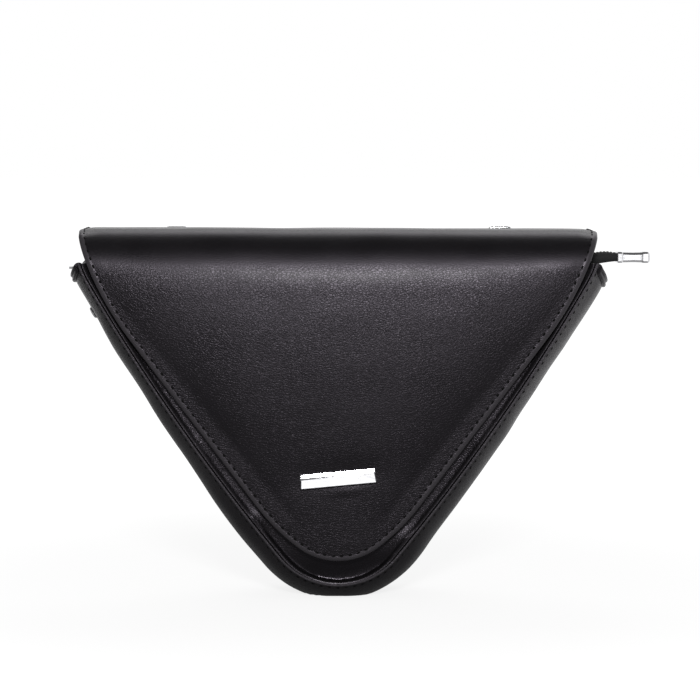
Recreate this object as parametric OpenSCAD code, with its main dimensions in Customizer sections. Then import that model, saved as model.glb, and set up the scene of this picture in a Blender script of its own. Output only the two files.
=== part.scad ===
// Triangular shoulder bag with a wide flap, shown shut and standing on its foot.
// Millimetres. X runs to the right, Y runs from the front to the back, Z is up,
// and the origin is the centre of the flat foot on the floor.

/* [Bag body] */
// Height of the mouth edge above the floor
mouth_z = 175.5; // [150:0.5:195]
// Depth from the face of the front wall to the face of the back wall
body_d = 50; // [44:1:70]
// Height of the wall seams' lowest point above the floor
foot_rise = 7.3; // [6:0.1:8.5]
// Radius of the bend at the bottom of the wall seams
foot_r = 40; // [32:1:46]
// Angle that the bottom bend turns through, in degrees
foot_turn = 50.5; // [47:0.5:54]
// Angle that each long side turns through on its way up, in degrees
side_turn = 9.5; // [6:0.5:13]
// Radius of the bend just below the mouth
brow_r = 60; // [40:1:90]
// Angle that the bend below the mouth turns through, in degrees
brow_turn = 12; // [6:0.5:16]
// How far the gusset swells past the seams at the foot
foot_bulge = 11; // [9.5:0.1:13]
// How far the gusset swells past the seams at the mouth
mouth_bulge = 6.7; // [5:0.1:9]
// How far the gusset's top edge dips between the two walls
mouth_dip = 6.5; // [3:0.1:8]
// How far the sewn lips stand out past the walls
lip_h = 2.5; // [1.5:0.1:2.7]

/* [Layers] */
// Thickness of the outer leather
leather_t = 1.2; // [0.8:0.1:1.4]
// Thickness of the stiffening boards
board_t = 1.2; // [0.8:0.1:1.4]
// Thickness of the lining
lining_t = 0.6; // [0.4:0.1:0.8]

/* [Flap] */
// Height of the flap's top above the mouth edge
flap_rise = 16.5; // [14:0.5:20]
// Height of the flap's tip
flap_tip_z = 21; // [18:0.5:26]
// Gap from the front wall's face to the inside of the flap
flap_gap = 3.55; // [3.4:0.05:5]
// Radius of the flap's tip
tip_r = 35; // [28:1:42]
// Angle that the tip turns through, in degrees
tip_turn = 38; // [34:0.5:42]
// Radius of the soft bend above the tip
cheek_r = 117; // [90:1:140]
// Angle that the soft bend above the tip turns through, in degrees
cheek_turn = 15; // [12:0.5:18]
// Radius of the flap's upper sides
wing_r = 184; // [150:1:220]
// Angle that the flap's upper sides turn through, in degrees
wing_turn = 20; // [16:0.5:24]
// Radius of the crown, where the flap turns down to the front
crown_r = 20; // [17:0.5:22]
// Angle of the crown before it eases into the wide shoulder, in degrees
crown_turn = 65; // [60:1:70]
// Radius of the wide shoulder below the crown
shoulder_r = 45; // [38:1:55]
// Radius of the fold at the top of the back wall
back_fold_r = 4; // [3.8:0.1:6]
// Distance of the flap's rear hinge line from the back wall's face
hinge_inset = 13; // [10:0.5:16]
// Angle round the crown at which the flap's front fold lies, in degrees
front_fold_at = 45; // [35:1:55]
// Width of the turned leather edge inside the flap
turned_edge = 7; // [5:0.5:10]

/* [Zip] */
// How far the zip lies below the mouth edge
zip_drop = 7; // [6.5:0.1:9]
// Distance of the zip's ends inside the mouth's corners
zip_inset = 9; // [8:0.5:14]
// Distance of the slider's two resting places inside the zip's ends
slider_inset = 10.5; // [10:0.5:14]
// Distance of the folding stretch of the zip inside the slider's resting places
fold_inset = 11; // [9:0.5:20]
// Distance between neighbouring teeth of one row
tooth_pitch = 3; // [2.6:0.1:4]
// Thickness of the teeth
tooth_h = 2.2; // [1.6:0.1:2.4]
// Thickness of the zip tape
tape_t = 0.6; // [0.4:0.1:0.8]
// Width of the ledge that carries the tape
ledge_w = 5.2; // [4:0.1:7]
// Length of the slider
slider_l = 12; // [10:0.5:13]
// Width of the slider
slider_w = 9.4; // [8:0.2:11]
// Length of the zip pull
pull_l = 25; // [18:0.5:27]
// Width of the zip pull
pull_w = 6.8; // [6:0.2:9]
// Distance of the bend in the zip's tail past the zip's end
tail_run = 7; // [6:0.5:9]
// Distance of the metal cap past the gusset's swell
cap_gap = 5.4; // [3:0.1:8]
// Height of the metal cap's centre above the mouth edge
cap_lift = 2.5; // [1:0.1:5]
// Length of the metal cap on the zip's tail
cap_l = 17; // [12:0.5:22]
// Width of the metal cap from front to back
cap_w = 13; // [9:0.5:16]
// Height of the metal cap
cap_h = 5.8; // [4.6:0.1:7]

/* [Fittings] */
// Length of the bar plate on the flap
bar_l = 40; // [30:0.5:50]
// Height of the bar plate
bar_h = 7.6; // [6:0.1:10]
// Thickness of the bar plate
bar_t = 2.6; // [2:0.1:3.5]
// Height of the bar plate's centre above the floor
bar_z = 64.4; // [56:0.1:80]
// Tilt of the bar plate, in degrees
bar_tilt = 5.3; // [0:0.1:8]
// Radius of the magnetic snap
snap_r = 8; // [6:0.1:9]
// Height of the magnetic snap's centre above the floor
snap_z = 44; // [40:0.5:46]
// Radius of the rivet heads on the gusset's sides
rivet_r = 3.3; // [2.5:0.1:4]
// Height of the gusset's rivets, as a distance below the mouth edge along the seam
rivet_drop = 20; // [14:0.5:30]
// Distance of the strap rings from the bag's centre
ring_x = 86.8; // [70:0.1:110]
// Width of the strap rings inside
ring_w = 9.5; // [8:0.1:12]
// Height of the strap rings from bar centre to bar centre
ring_h = 9.8; // [8:0.1:14]
// Thickness of the strap rings' wire
ring_wire = 2; // [1.6:0.1:2.4]
// How far the strap rings stand above the flap's top
ring_proud = 1.8; // [0.5:0.1:3]
// Length of the tabs that hold the strap rings
tab_l = 15; // [12:0.5:20]

/* [Hidden] */

$fn = 48;
clear = 0.3;         // running gap between pieces that move past each other
touch = 0.05;        // gap between curved pieces of one body
split_gap = 0.2;     // gap between two bodies along a fold line
over = 20;           // how far cutting shapes run past what they cut
least_share = 0.02;  // shortest last step of an outline, as a share of a whole step
leather_colour = [0.13, 0.12, 0.13];
lining_colour = [0.30, 0.28, 0.30];
board_colour = [0.62, 0.55, 0.45];
metal_colour = [0.80, 0.80, 0.82];
tape_colour = [0.06, 0.06, 0.06];

// Layers, counted inwards from the leather's face
board_in = leather_t + board_t;
wall_in = board_in + lining_t;
wall_y = body_d / 2;
lip_w = 2 * leather_t;
fold_z = mouth_z + flap_rise;

// Seam path: bottom bend, long side and the bend below the mouth, by length along it
foot_len = foot_r * foot_turn * PI / 180;
brow_len = brow_r * brow_turn * PI / 180;
side_head = foot_turn + side_turn;
side_rise = mouth_z - foot_rise - foot_r * (1 - cos(foot_turn))
    - brow_r * (cos(side_head) - cos(side_head + brow_turn));
side_r = side_rise / (cos(foot_turn) - cos(side_head));
side_len = side_r * side_turn * PI / 180;
seam_len = foot_len + side_len + brow_len;
foot_steps = 12;
side_steps = 8;
brow_steps = 3;

// A point after a bend: from a start and a heading, along a radius through a turn
function bend(start, head, r, turn) =
    [start.x + r * (sin(head + turn) - sin(head)), start.y + r * (cos(head) - cos(head + turn)), head + turn];
foot_end = bend([0, foot_rise], 0, foot_r, foot_turn);
side_end = bend(foot_end, foot_turn, side_r, side_turn);

// The seam's point and heading at a length along it, as [x, z, heading]
function seam_at(s) =
    s <= foot_len ? bend([0, foot_rise], 0, foot_r, s / foot_r * 180 / PI)
    : s <= foot_len + side_len ? bend(foot_end, foot_turn, side_r, (s - foot_len) / side_r * 180 / PI)
    : bend(side_end, side_head, brow_r, (s - foot_len - side_len) / brow_r * 180 / PI);
seam_steps = concat([for (i = [0:foot_steps]) foot_len * i / foot_steps],
    [for (i = [1:side_steps]) foot_len + side_len * i / side_steps],
    [for (i = [1:brow_steps]) foot_len + side_len + brow_len * i / brow_steps]);
seam_stations = [for (s = seam_steps) seam_at(s)];

// Flap edge: tip, soft bend, straight side and upper side, as stations like the seam's
cheek_end = bend([0, flap_tip_z, 0], 0, tip_r, tip_turn);
straight_start = bend(cheek_end, tip_turn, cheek_r, cheek_turn);
flap_head = tip_turn + cheek_turn;
wing_rise = wing_r * (cos(flap_head) - cos(flap_head + wing_turn));
straight_l = (fold_z - straight_start.y - wing_rise) / sin(flap_head);
wing_start = [straight_start.x + straight_l * cos(flap_head), straight_start.y + straight_l * sin(flap_head)];
tip_steps = 8;
cheek_steps = 3;
wing_steps = 5;
flap_stations = concat([for (i = [0:tip_steps]) bend([0, flap_tip_z], 0, tip_r, tip_turn * i / tip_steps)],
    [for (i = [1:cheek_steps]) bend(cheek_end, tip_turn, cheek_r, cheek_turn * i / cheek_steps)],
    [for (i = [0:wing_steps]) bend(wing_start, flap_head, wing_r, wing_turn * i / wing_steps)]);
flap_top_half = flap_stations[len(flap_stations) - 1].x;
mouth_half = seam_stations[len(seam_stations) - 1].x;
zip_end = mouth_half - zip_inset;
slider_at = zip_end - slider_inset;
zip_half = slider_at - fold_inset;

// Right half of an outline, moved inwards and ended square at a height
function inset_side(stations, inset, top) =
    let (p = [for (s = stations) [s.x - inset * sin(s.z), s.y + inset * cos(s.z)]],
        n = len(p) - 1,
        path = concat(p, [p[n] + 2 * over * [cos(stations[n].z), sin(stations[n].z)]]),
        i = [for (i = [0:n]) if (path[i].y < top && path[i + 1].y >= top) i][0],
        share = (top - path[i].y) / (path[i + 1].y - path[i].y))
    concat([for (j = [0:i]) if (j < i || share > least_share) p[j]],
        [path[i] + share * (path[i + 1] - path[i])]);
function reversed(list) = [for (i = [len(list) - 1:-1:0]) list[i]];
function both_sides(right) = concat(right, [for (q = reversed(right)) if (q.x > touch) [-q.x, q.y]]);
function seam_outline(inset, top = mouth_z) = both_sides(inset_side(seam_stations, inset, top));
function flap_outline(inset, top = fold_z) = both_sides(inset_side(flap_stations, inset, top));
back_outline = both_sides(concat(inset_side(seam_stations, leather_t, mouth_z),
    [[flap_top_half, mouth_z + 2 * leather_t], [flap_top_half, fold_z + over]]));

// Extrudes a front view drawing along Y between two depths
module slab(y0, y1) {
    translate([0, y1, 0]) rotate([90, 0, 0]) linear_extrude(y1 - y0) children();
}

// Extrudes a side view drawing, made of Y and Z, along X
module along_x(x0, x1) {
    translate([x0, 0, 0]) rotate([90, 0, 90]) linear_extrude(x1 - x0) children();
}

// Round bar along Y, and along X
module bar_y(x, z, r, y0, y1) {
    translate([x, y1, z]) rotate([90, 0, 0]) cylinder(r = r, h = y1 - y0);
}
module bar_x(y, z, r, x0, x1) {
    translate([x0, y, z]) rotate([0, 90, 0]) cylinder(r = r, h = x1 - x0);
}

// Part of a ring in a drawing, between two angles
module ring_part(centre, r_in, r_out, a0, a1) {
    reach = 2 * r_out;
    translate(centre) intersection() {
        difference() {
            circle(r = r_out);
            circle(r = r_in);
        }
        polygon([[0, 0], reach * [cos(a0), sin(a0)], reach * [cos((a0 + a1) / 2), sin((a0 + a1) / 2)],
            reach * [cos(a1), sin(a1)]]);
    }
}

// Side view of the leather, from the back wall over the top to the flap's skirt
skirt_y = -wall_y - flap_gap - wall_in;
shoulder_run = crown_r * sin(crown_turn) + shoulder_r * (1 - sin(crown_turn));
crown_c = [skirt_y + shoulder_run, fold_z - crown_r];
shoulder_c = crown_c + (crown_r - shoulder_r) * [-sin(crown_turn), cos(crown_turn)];
hinge_y = wall_y - hinge_inset;

// Layers between two depths below the leather's face, one module per body
module rear_layers(t0, t1, low = 0) {
    translate([wall_y - t1, low]) square([t1 - t0, fold_z - back_fold_r - low]);
    ring_part([wall_y - back_fold_r, fold_z - back_fold_r], back_fold_r - t1, back_fold_r - t0, 0, 90);
    translate([hinge_y + split_gap / 2, fold_z - t1])
        square([hinge_inset - back_fold_r - split_gap / 2, t1 - t0]);
}
module top_layers(t0, t1) {
    translate([crown_c.x, fold_z - t1]) square([hinge_y - split_gap / 2 - crown_c.x, t1 - t0]);
    ring_part(crown_c, crown_r - t1, crown_r - t0, 90, 90 + front_fold_at - fold_gap_angle);
}
module skirt_layers(t0, t1) {
    ring_part(crown_c, crown_r - t1, crown_r - t0, 90 + front_fold_at + fold_gap_angle, 90 + crown_turn);
    ring_part(shoulder_c, shoulder_r - t1, shoulder_r - t0, 90 + crown_turn, 180);
    translate([skirt_y + t0, 0]) square([t1 - t0, shoulder_c.y]);
}
fold_gap_angle = split_gap / 2 / crown_r * 180 / PI;

// Swells of the gusset: how far it stands out from the seam path, across and along the bag
bulge_power = 2.4;
function bulge_at(s) = foot_bulge + (mouth_bulge - foot_bulge) * s / seam_len;
function swell(y, half) = 1 - pow(min(1, abs(y) / half), bulge_power);
function dip(y) = mouth_dip * swell(y, wall_y);

// A point of the gusset: side of the bag, length along the seam, depth, how far out, lowest height
function gusset_point(side, s, y, out, floor_z) =
    let (q = seam_at(s * (1 - dip(y) / seam_len)))
    [side * (q.x + out * sin(q.z)), y, max(floor_z, q.y - out * cos(q.z))];
skin_half = wall_y - board_t / 2;
lining_half = wall_y - board_in;
skin_steps = 5;
function skin_depths(half) = [for (i = [-skin_steps:skin_steps]) half * i / skin_steps];

// Closed band swept through rows of points; each row goes out along one face and back along the other
module band(rows) {
    n = len(rows[0]);
    half = n / 2;
    last = len(rows) - 1;
    polyhedron(points = [for (row = rows) each row], faces = concat(
        [for (i = [0:last - 1], j = [0:n - 1]) let (k = (j + 1) % n) [i * n + j, (i + 1) * n + j, i * n + k]],
        [for (i = [0:last - 1], j = [0:n - 1]) let (k = (j + 1) % n)
            [i * n + k, (i + 1) * n + j, (i + 1) * n + k]],
        [for (j = [0:half - 2]) each [[j, j + 1, n - 2 - j], [j, n - 2 - j, n - 1 - j]]],
        [for (j = [0:half - 2]) each [[last * n + j, last * n + n - 2 - j, last * n + j + 1],
            [last * n + j, last * n + n - 1 - j, last * n + n - 2 - j]]]));
}
seam_rows = concat([for (s = reversed(seam_steps)) if (s > 0) [-1, s]], [for (s = seam_steps) [1, s]]);

module foot_cut() {
    translate([-body_d, -body_d, -over]) cube([2 * body_d, 2 * body_d, over]);
}

// Holes through the gusset for its rivets
rivet_s = seam_len - rivet_drop;
rivet_head = seam_at(rivet_s * (1 - mouth_dip / seam_len));
rivet_stem_r = 1.2;
rivet_head_t = 1.1;
washer_t = 0.5;
washer_back = leather_t + lining_t + clear + touch + washer_t;
module at_rivets() {
    for (side = [-1, 1])
        translate([side * rivet_head.x, 0, rivet_head.y]) rotate([0, side * (180 - rivet_head.z), 0])
            translate([0, 0, bulge_at(rivet_s)]) children();
}

module gusset() {
    color(leather_colour) difference() {
        band([for (r = seam_rows) concat(
            [gusset_point(r.x, r.y, -wall_y - lip_h, 0, -1)],
            [for (y = skin_depths(skin_half))
                gusset_point(r.x, r.y, y, bulge_at(r.y) * swell(y, skin_half), -1)],
            [gusset_point(r.x, r.y, wall_y + lip_h, 0, -1),
                gusset_point(r.x, r.y, wall_y + lip_h, -leather_t, leather_t)],
            [for (y = reversed(skin_depths(wall_y - leather_t)))
                gusset_point(r.x, r.y, y, bulge_at(r.y) * swell(y, wall_y - leather_t) - leather_t,
                    leather_t)],
            [gusset_point(r.x, r.y, -wall_y - lip_h, -leather_t, leather_t)])]);
        foot_cut();
        at_rivets() translate([0, 0, -over / 2]) cylinder(r = rivet_stem_r + touch, h = over);
    }
}

module gusset_lining() {
    face = leather_t + touch;
    back = face + lining_t;
    color(lining_colour) difference() {
        band([for (r = seam_rows) concat(
            [for (y = skin_depths(lining_half))
                gusset_point(r.x, r.y, y, bulge_at(r.y) * swell(y, lining_half) - face, face)],
            [for (y = reversed(skin_depths(lining_half)))
                gusset_point(r.x, r.y, y, bulge_at(r.y) * swell(y, lining_half) - back, back)])]);
        at_rivets() translate([0, 0, -over / 2]) cylinder(r = rivet_stem_r + touch, h = over);
    }
}

module gusset_rivets() {
    dome_r = rivet_r - rivet_head_t / 2;
    color(metal_colour) at_rivets() {
        translate([0, 0, touch]) cylinder(r = rivet_r, h = rivet_head_t / 2);
        translate([0, 0, touch + rivet_head_t / 2]) cylinder(r1 = rivet_r, r2 = dome_r, h = rivet_head_t / 2);
        translate([0, 0, -washer_back]) cylinder(r = rivet_stem_r, h = washer_back + 2 * touch);
    }
}

module gusset_rivet_washers() {
    color(metal_colour) at_rivets() translate([0, 0, -washer_back]) difference() {
        cylinder(r = rivet_r, h = washer_t);
        translate([0, 0, -over / 2]) cylinder(r = rivet_stem_r + touch, h = over);
    }
}

// Strip of leather folded over the gusset's top edge
binding_l = 5;
binding_t = 0.8;
binding_gap = 3 * touch;
binding_half = lining_half - clear;
module binding(side) {
    s_low = seam_len - binding_l;
    s_top = seam_len + binding_t;
    in_face = -leather_t - lining_t - touch - binding_gap;
    round = binding_t / 2;
    front_leg = [[s_low, binding_gap], [s_low, binding_t], [s_top - round, binding_t], [s_top, round]];
    back_leg = [[s_top, in_face - round], [s_top - round, in_face - binding_t], [s_low, in_face - binding_t],
        [s_low, in_face], [seam_len + binding_gap, in_face]];
    color(leather_colour) sweep_section([for (y = skin_depths(binding_half)) concat(
        [for (q = front_leg) gusset_point(side, q.x, y, bulge_at(q.x) * swell(y, skin_half) + q.y, 0)],
        [for (q = back_leg) gusset_point(side, q.x, y, bulge_at(q.x) * swell(y, lining_half) + q.y, 0)],
        [gusset_point(side, seam_len + binding_gap, y, mouth_bulge * swell(y, skin_half) + binding_gap, 0)])],
        side);
}

// Closed tube swept through rings of points, its ends closed by a fan
module sweep_section(rings, side) {
    n = len(rings[0]);
    last = len(rings) - 1;
    faces = concat(
        [for (i = [0:last - 1], j = [0:n - 1]) let (k = (j + 1) % n) [i * n + j, i * n + k, (i + 1) * n + j]],
        [for (i = [0:last - 1], j = [0:n - 1]) let (k = (j + 1) % n)
            [i * n + k, (i + 1) * n + k, (i + 1) * n + j]],
        [[for (j = [n - 1:-1:0]) j]], [[for (j = [0:n - 1]) last * n + j]]);
    polyhedron(points = [for (ring = rings) each ring],
        faces = side > 0 ? faces : [for (f = faces) reversed(f)]);
}

module left_binding() binding(-1);
module right_binding() binding(1);

// Front wall: plate, proud lip inside the gusset's own edge, and the hem over the board
facing_low = mouth_z - zip_drop - leather_t;
module front_panel() {
    color(leather_colour) difference() {
        union() {
            slab(-wall_y, -wall_y + leather_t) polygon(seam_outline(leather_t));
            slab(-wall_y - lip_h, -wall_y) difference() {
                polygon(seam_outline(leather_t));
                polygon(seam_outline(lip_w, mouth_z + over));
            }
            slab(-wall_y + leather_t - touch, -wall_y + board_in) intersection() {
                polygon(seam_outline(lip_w));
                translate([-mouth_z, mouth_z - leather_t]) square([2 * mouth_z, leather_t]);
            }
        }
        bar_y(0, snap_z, snap_stem_r + touch, -wall_y - over, -wall_y + over);
    }
}

module front_board() {
    color(board_colour) difference() {
        slab(-wall_y + leather_t, -wall_y + board_in) polygon(seam_outline(lip_w, mouth_z - leather_t));
        bar_y(0, snap_z, snap_r + touch, -wall_y, -wall_y + over);
    }
}

module front_lining() {
    color(lining_colour) slab(-wall_y + board_in, -wall_y + wall_in)
        polygon(seam_outline(wall_in, facing_low));
}

// Back wall and the start of the flap, in one piece of leather
module back_panel() {
    color(leather_colour) difference() {
        union() {
            intersection() {
                along_x(-mouth_z, mouth_z) rear_layers(0, leather_t);
                slab(-over, wall_y + over) polygon(back_outline);
            }
            slab(wall_y, wall_y + lip_h) difference() {
                polygon(seam_outline(leather_t));
                polygon(seam_outline(lip_w, mouth_z + over));
            }
            for (m = [0, 1]) mirror([m, 0, 0])
                along_x(flap_top_half - turned_edge + touch, flap_top_half)
                    rear_layers(leather_t - touch, board_in, mouth_z + touch);
        }
        at_tabs() bar_y(0, 0, tab_stem_r + touch, 0, 2 * wall_y);
    }
}

collar_top = fold_z - back_fold_r;
module back_board() {
    color(board_colour) difference() {
        union() {
            slab(wall_y - board_in, wall_y - leather_t) polygon(seam_outline(lip_w, mouth_z));
            slab(wall_y - board_in, wall_y - leather_t)
                translate([-flap_top_half + turned_edge, mouth_z - leather_t])
                    square([2 * (flap_top_half - turned_edge), collar_top - mouth_z + leather_t]);
        }
        at_tabs() bar_y(0, 0, tab_stem_r + touch, 0, 2 * wall_y);
        at_tabs() bar_y(0, 0, tab_rivet_r + touch, 0, wall_y - board_in + washer_t);
    }
}

module back_lining() {
    color(lining_colour) slab(wall_y - wall_in, wall_y - board_in) polygon(seam_outline(wall_in, facing_low));
}

// Lining of the back wall above the zip, up to the flap's hinge line
module collar_lining() {
    color(lining_colour) intersection() {
        along_x(-mouth_z, mouth_z) rear_layers(board_in, wall_in, mouth_z + touch);
        slab(-over, wall_y + over) translate([-flap_top_half + leather_t, 0])
            square([2 * (flap_top_half - leather_t), 2 * fold_z]);
    }
}

// Strip inside each wall that drops from the mouth edge and carries the zip tape on a ledge
facing_half = zip_end + 3;
facing_y = wall_y - board_in - leather_t;
ledge_y = facing_y - ledge_w;
tape_z = mouth_z - zip_drop;
module facing_shape() {
    color(leather_colour) along_x(-facing_half, facing_half)
        polygon([[wall_y - board_in, facing_low], [wall_y - board_in, mouth_z], [facing_y, mouth_z],
            [facing_y, tape_z], [ledge_y, tape_z], [ledge_y, facing_low]]);
}
module front_facing() mirror([0, 1, 0]) facing_shape();
module back_facing() facing_shape();

// Zip: two tapes with a row of teeth each. The stretch between the fixed ends folds down.
zip_z = tape_z + tape_t / 2;
fold_y = ledge_y - 2 * clear;
row_y = 1.4;
bead_w = 1.4;
tape_y0 = row_y + bead_w;
tooth_w = tooth_pitch * 0.36;
tooth_reach = 1;
sew_w = ledge_w - 2 * clear - 1;
end_gap = clear / 2;

// One row of teeth on its bead, drawn for the back; phase shifts it against the other row
module teeth_row(phase, x0, x1) {
    first = ceil((x0 + tooth_w / 2) / tooth_pitch - phase);
    last = floor((x1 - tooth_w / 2) / tooth_pitch - phase);
    translate([x0, row_y, zip_z - tooth_h / 2]) cube([x1 - x0, bead_w, tooth_h]);
    for (k = [first:last])
        translate([(k + phase) * tooth_pitch - tooth_w / 2, -tooth_reach, zip_z - tooth_h / 2])
            cube([tooth_w, tooth_reach + row_y + bead_w / 2, tooth_h]);
}
module tape_strip(x0, x1, y0, y1) {
    translate([x0, y0, tape_z]) cube([x1 - x0, y1 - y0, tape_t]);
}
module front_zip_tape() {
    color(tape_colour) mirror([0, 1, 0]) tape_strip(-zip_half, zip_half, tape_y0, fold_y - split_gap);
}
module back_zip_tape() {
    color(tape_colour) tape_strip(-zip_half, zip_half, tape_y0, fold_y - split_gap);
}
module front_zip_teeth() {
    color(metal_colour) mirror([0, 1, 0]) teeth_row(0, -zip_half, zip_half);
}
module back_zip_teeth() {
    color(metal_colour) teeth_row(0.5, -zip_half, zip_half);
}

// The sewn margins and the two ends of the tapes, which stay put
module zip_end_tapes() {
    color(tape_colour) for (m = [0, 1]) mirror([0, m, 0]) {
        tape_strip(-zip_end, zip_end, ledge_y, ledge_y + sew_w);
        tape_strip(-zip_end, -zip_half - end_gap, tape_y0, ledge_y - touch);
        tape_strip(zip_half + end_gap, zip_end, tape_y0, ledge_y - touch);
    }
}

// Fixed teeth at both ends, and the stops at the slider's two ends of travel
stop_l = 2;
stop_x = slider_at + slider_l / 2 + clear;
module zip_end_teeth() {
    color(metal_colour) for (ends = [[-stop_x, -zip_half - end_gap], [zip_half + end_gap, stop_x]]) {
        teeth_row(0.5, ends[0], ends[1]);
        mirror([0, 1, 0]) teeth_row(0, ends[0], ends[1]);
    }
}
module zip_top_stops() {
    color(metal_colour) for (m = [0, 1]) mirror([0, m, 0])
        translate([-stop_x - stop_l, row_y / 2, zip_z - tooth_h / 2])
            cube([stop_l, tape_y0 - row_y / 2, tooth_h]);
}
module zip_bottom_stop() {
    color(metal_colour) translate([stop_x, -tape_y0, zip_z - tooth_h / 2])
        cube([stop_l, 2 * tape_y0, tooth_h]);
}

// Slider: an upper and a lower shell round the teeth, with a crown that holds the pull
slider_wall = 1;
flange_w = 1.1;
channel_h = tooth_h / 2 + clear;
flange_h = channel_h - tape_t / 2 - clear;
crown_w = 2.4;
eye_r = 1.9;
pull_pin_r = 0.72;
pin_gap = 0.08;
shell_z = zip_z + channel_h + slider_wall / 2;
pivot = [-slider_at - eye_r, zip_z + channel_h + slider_wall + eye_r + clear];
module slider_plan() {
    nose = slider_l / 2;
    side = slider_w / 2;
    polygon([[-nose, -side + slider_wall], [-nose + slider_wall, -side], [0, -side],
        [nose, -side + slider_wall], [nose, side - slider_wall], [0, side],
        [-nose + slider_wall, side], [-nose, side - slider_wall]]);
}
module slider_shell() {
    inner_w = slider_w - 2 * flange_w;
    difference() {
        linear_extrude(slider_wall + flange_h) slider_plan();
        translate([-slider_l, -inner_w / 2, -over]) cube([2 * slider_l, inner_w, over + flange_h]);
    }
}
module zip_slider() {
    color(metal_colour) {
        translate([-slider_at, 0, zip_z + channel_h - flange_h]) slider_shell();
        translate([-slider_at, 0, zip_z - channel_h + flange_h]) mirror([0, 0, 1]) slider_shell();
        difference() {
            slab(-crown_w / 2, crown_w / 2) {
                translate(pivot) circle(r = eye_r);
                translate([pivot.x - eye_r, shell_z]) square([2 * eye_r, pivot.y - shell_z]);
                translate([pivot.x, shell_z])
                    square([slider_l / 2 + slider_wall / 2, pivot.y + eye_r / 2 - shell_z]);
            }
            bar_y(pivot.x, pivot.y, pull_pin_r + pin_gap, -over, over);
        }
    }
}

// Pull: a flat plate on two arms beside the crown, with its pin through the crown
pull_droop = 2.3;
pull_t = 1.2;
pull_eye_r = 1.1;
arm_y = crown_w / 2 + clear;
arm_w = pull_w / 2 - arm_y;
arm_l = eye_r + 2 * clear;
module zip_pull() {
    end_x = pull_w / 2 - pull_l;
    color(metal_colour) translate([pivot.x, 0, pivot.y]) rotate([0, -pull_droop, 0]) {
        bar_y(0, 0, pull_pin_r, -pull_w / 2, pull_w / 2);
        for (m = [0, 1]) mirror([0, m, 0]) {
            bar_y(0, 0, pull_eye_r, arm_y, pull_w / 2);
            translate([-arm_l - pull_eye_r, arm_y, -pull_t / 2]) cube([arm_l + pull_eye_r, arm_w, pull_t]);
        }
        translate([0, 0, -pull_t / 2]) linear_extrude(pull_t) difference() {
            union() {
                translate([end_x, -pull_w / 2]) square([-arm_l - end_x, pull_w]);
                translate([end_x, 0]) circle(r = pull_w / 2);
            }
            translate([end_x, 0]) circle(r = pull_w / 4);
        }
    }
}

// Tail of the zip: it climbs from the tapes' right end, over the gusset and out to its metal cap
cap_wall = 0.8;
tail_w = cap_w - 2 * cap_wall - 2 * touch;
tail_t = cap_h - 2 * cap_wall - 2 * touch;
cap_x = mouth_half + mouth_bulge + cap_gap;
cap_z = mouth_z + cap_lift;
tail_hinge = [zip_end + tail_run, (zip_z + cap_z) / 2 + tail_t / 4];
tail_knee = [mouth_half + mouth_bulge, cap_z - clear];
grip_l = 3;
module zip_neck() {
    neck_x = tail_hinge.x - tail_t / 2 - split_gap;
    color(tape_colour) slab(-tail_w / 2, tail_w / 2)
        polygon([[zip_end, tape_z], [neck_x, tail_hinge.y - tail_t / 2],
            [neck_x, tail_hinge.y + tail_t / 2], [zip_end, tape_z + tape_t]]);
}
module zip_tail_tape() {
    path = [tail_hinge, tail_knee, [cap_x - clear, cap_z], [cap_x + grip_l, cap_z]];
    color(tape_colour) slab(-tail_w / 2, tail_w / 2) {
        translate(tail_hinge) circle(r = tail_t / 2);
        polygon(concat([for (q = path) q - [0, tail_t / 2]], [for (q = reversed(path)) q + [0, tail_t / 2]]));
    }
}
module zip_tail_cap() {
    half = cap_h / 2;
    color(metal_colour) difference() {
        slab(-cap_w / 2, cap_w / 2) translate([cap_x, cap_z]) polygon([[0, -half],
            [cap_l - cap_wall, -half], [cap_l, -half + cap_wall], [cap_l, half - cap_wall],
            [cap_l - cap_wall, half], [0, half]]);
        translate([cap_x - over, -cap_w / 2 + cap_wall, cap_z - half + cap_wall])
            cube([over + cap_l - cap_wall, cap_w - 2 * cap_wall, cap_h - 2 * cap_wall]);
    }
}

// Magnetic snap: the socket on the front wall and the stud inside the flap
snap_stem_r = 1.6;
socket_t = 1.7;
stud_t = flap_gap - socket_t - clear;
boss_r = 2.4;
boss_l = 1.1;
flap_face = skirt_y + wall_in;
module snap_socket() {
    color(metal_colour) difference() {
        union() {
            bar_y(0, snap_z, snap_r, -wall_y - socket_t, -wall_y);
            bar_y(0, snap_z, snap_stem_r, -wall_y - touch, -wall_y + leather_t + washer_t);
        }
        bar_y(0, snap_z, boss_r + 2 * clear, -wall_y - over, -wall_y - socket_t + boss_l + touch);
    }
}
module snap_washer(y0) {
    color(metal_colour) difference() {
        bar_y(0, snap_z, snap_r - clear, y0, y0 + washer_t);
        bar_y(0, snap_z, snap_stem_r + touch, y0 - over, y0 + over);
    }
}
module snap_socket_washer() snap_washer(-wall_y + leather_t);
module snap_stud() {
    color(metal_colour) {
        bar_y(0, snap_z, snap_r, flap_face, flap_face + stud_t);
        bar_y(0, snap_z, boss_r, flap_face + stud_t / 2, flap_face + stud_t + boss_l);
        bar_y(0, snap_z, snap_stem_r, flap_face - lining_t - washer_t, flap_face + stud_t / 2);
    }
}
module snap_stud_washer() snap_washer(flap_face - lining_t - washer_t);

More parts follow.
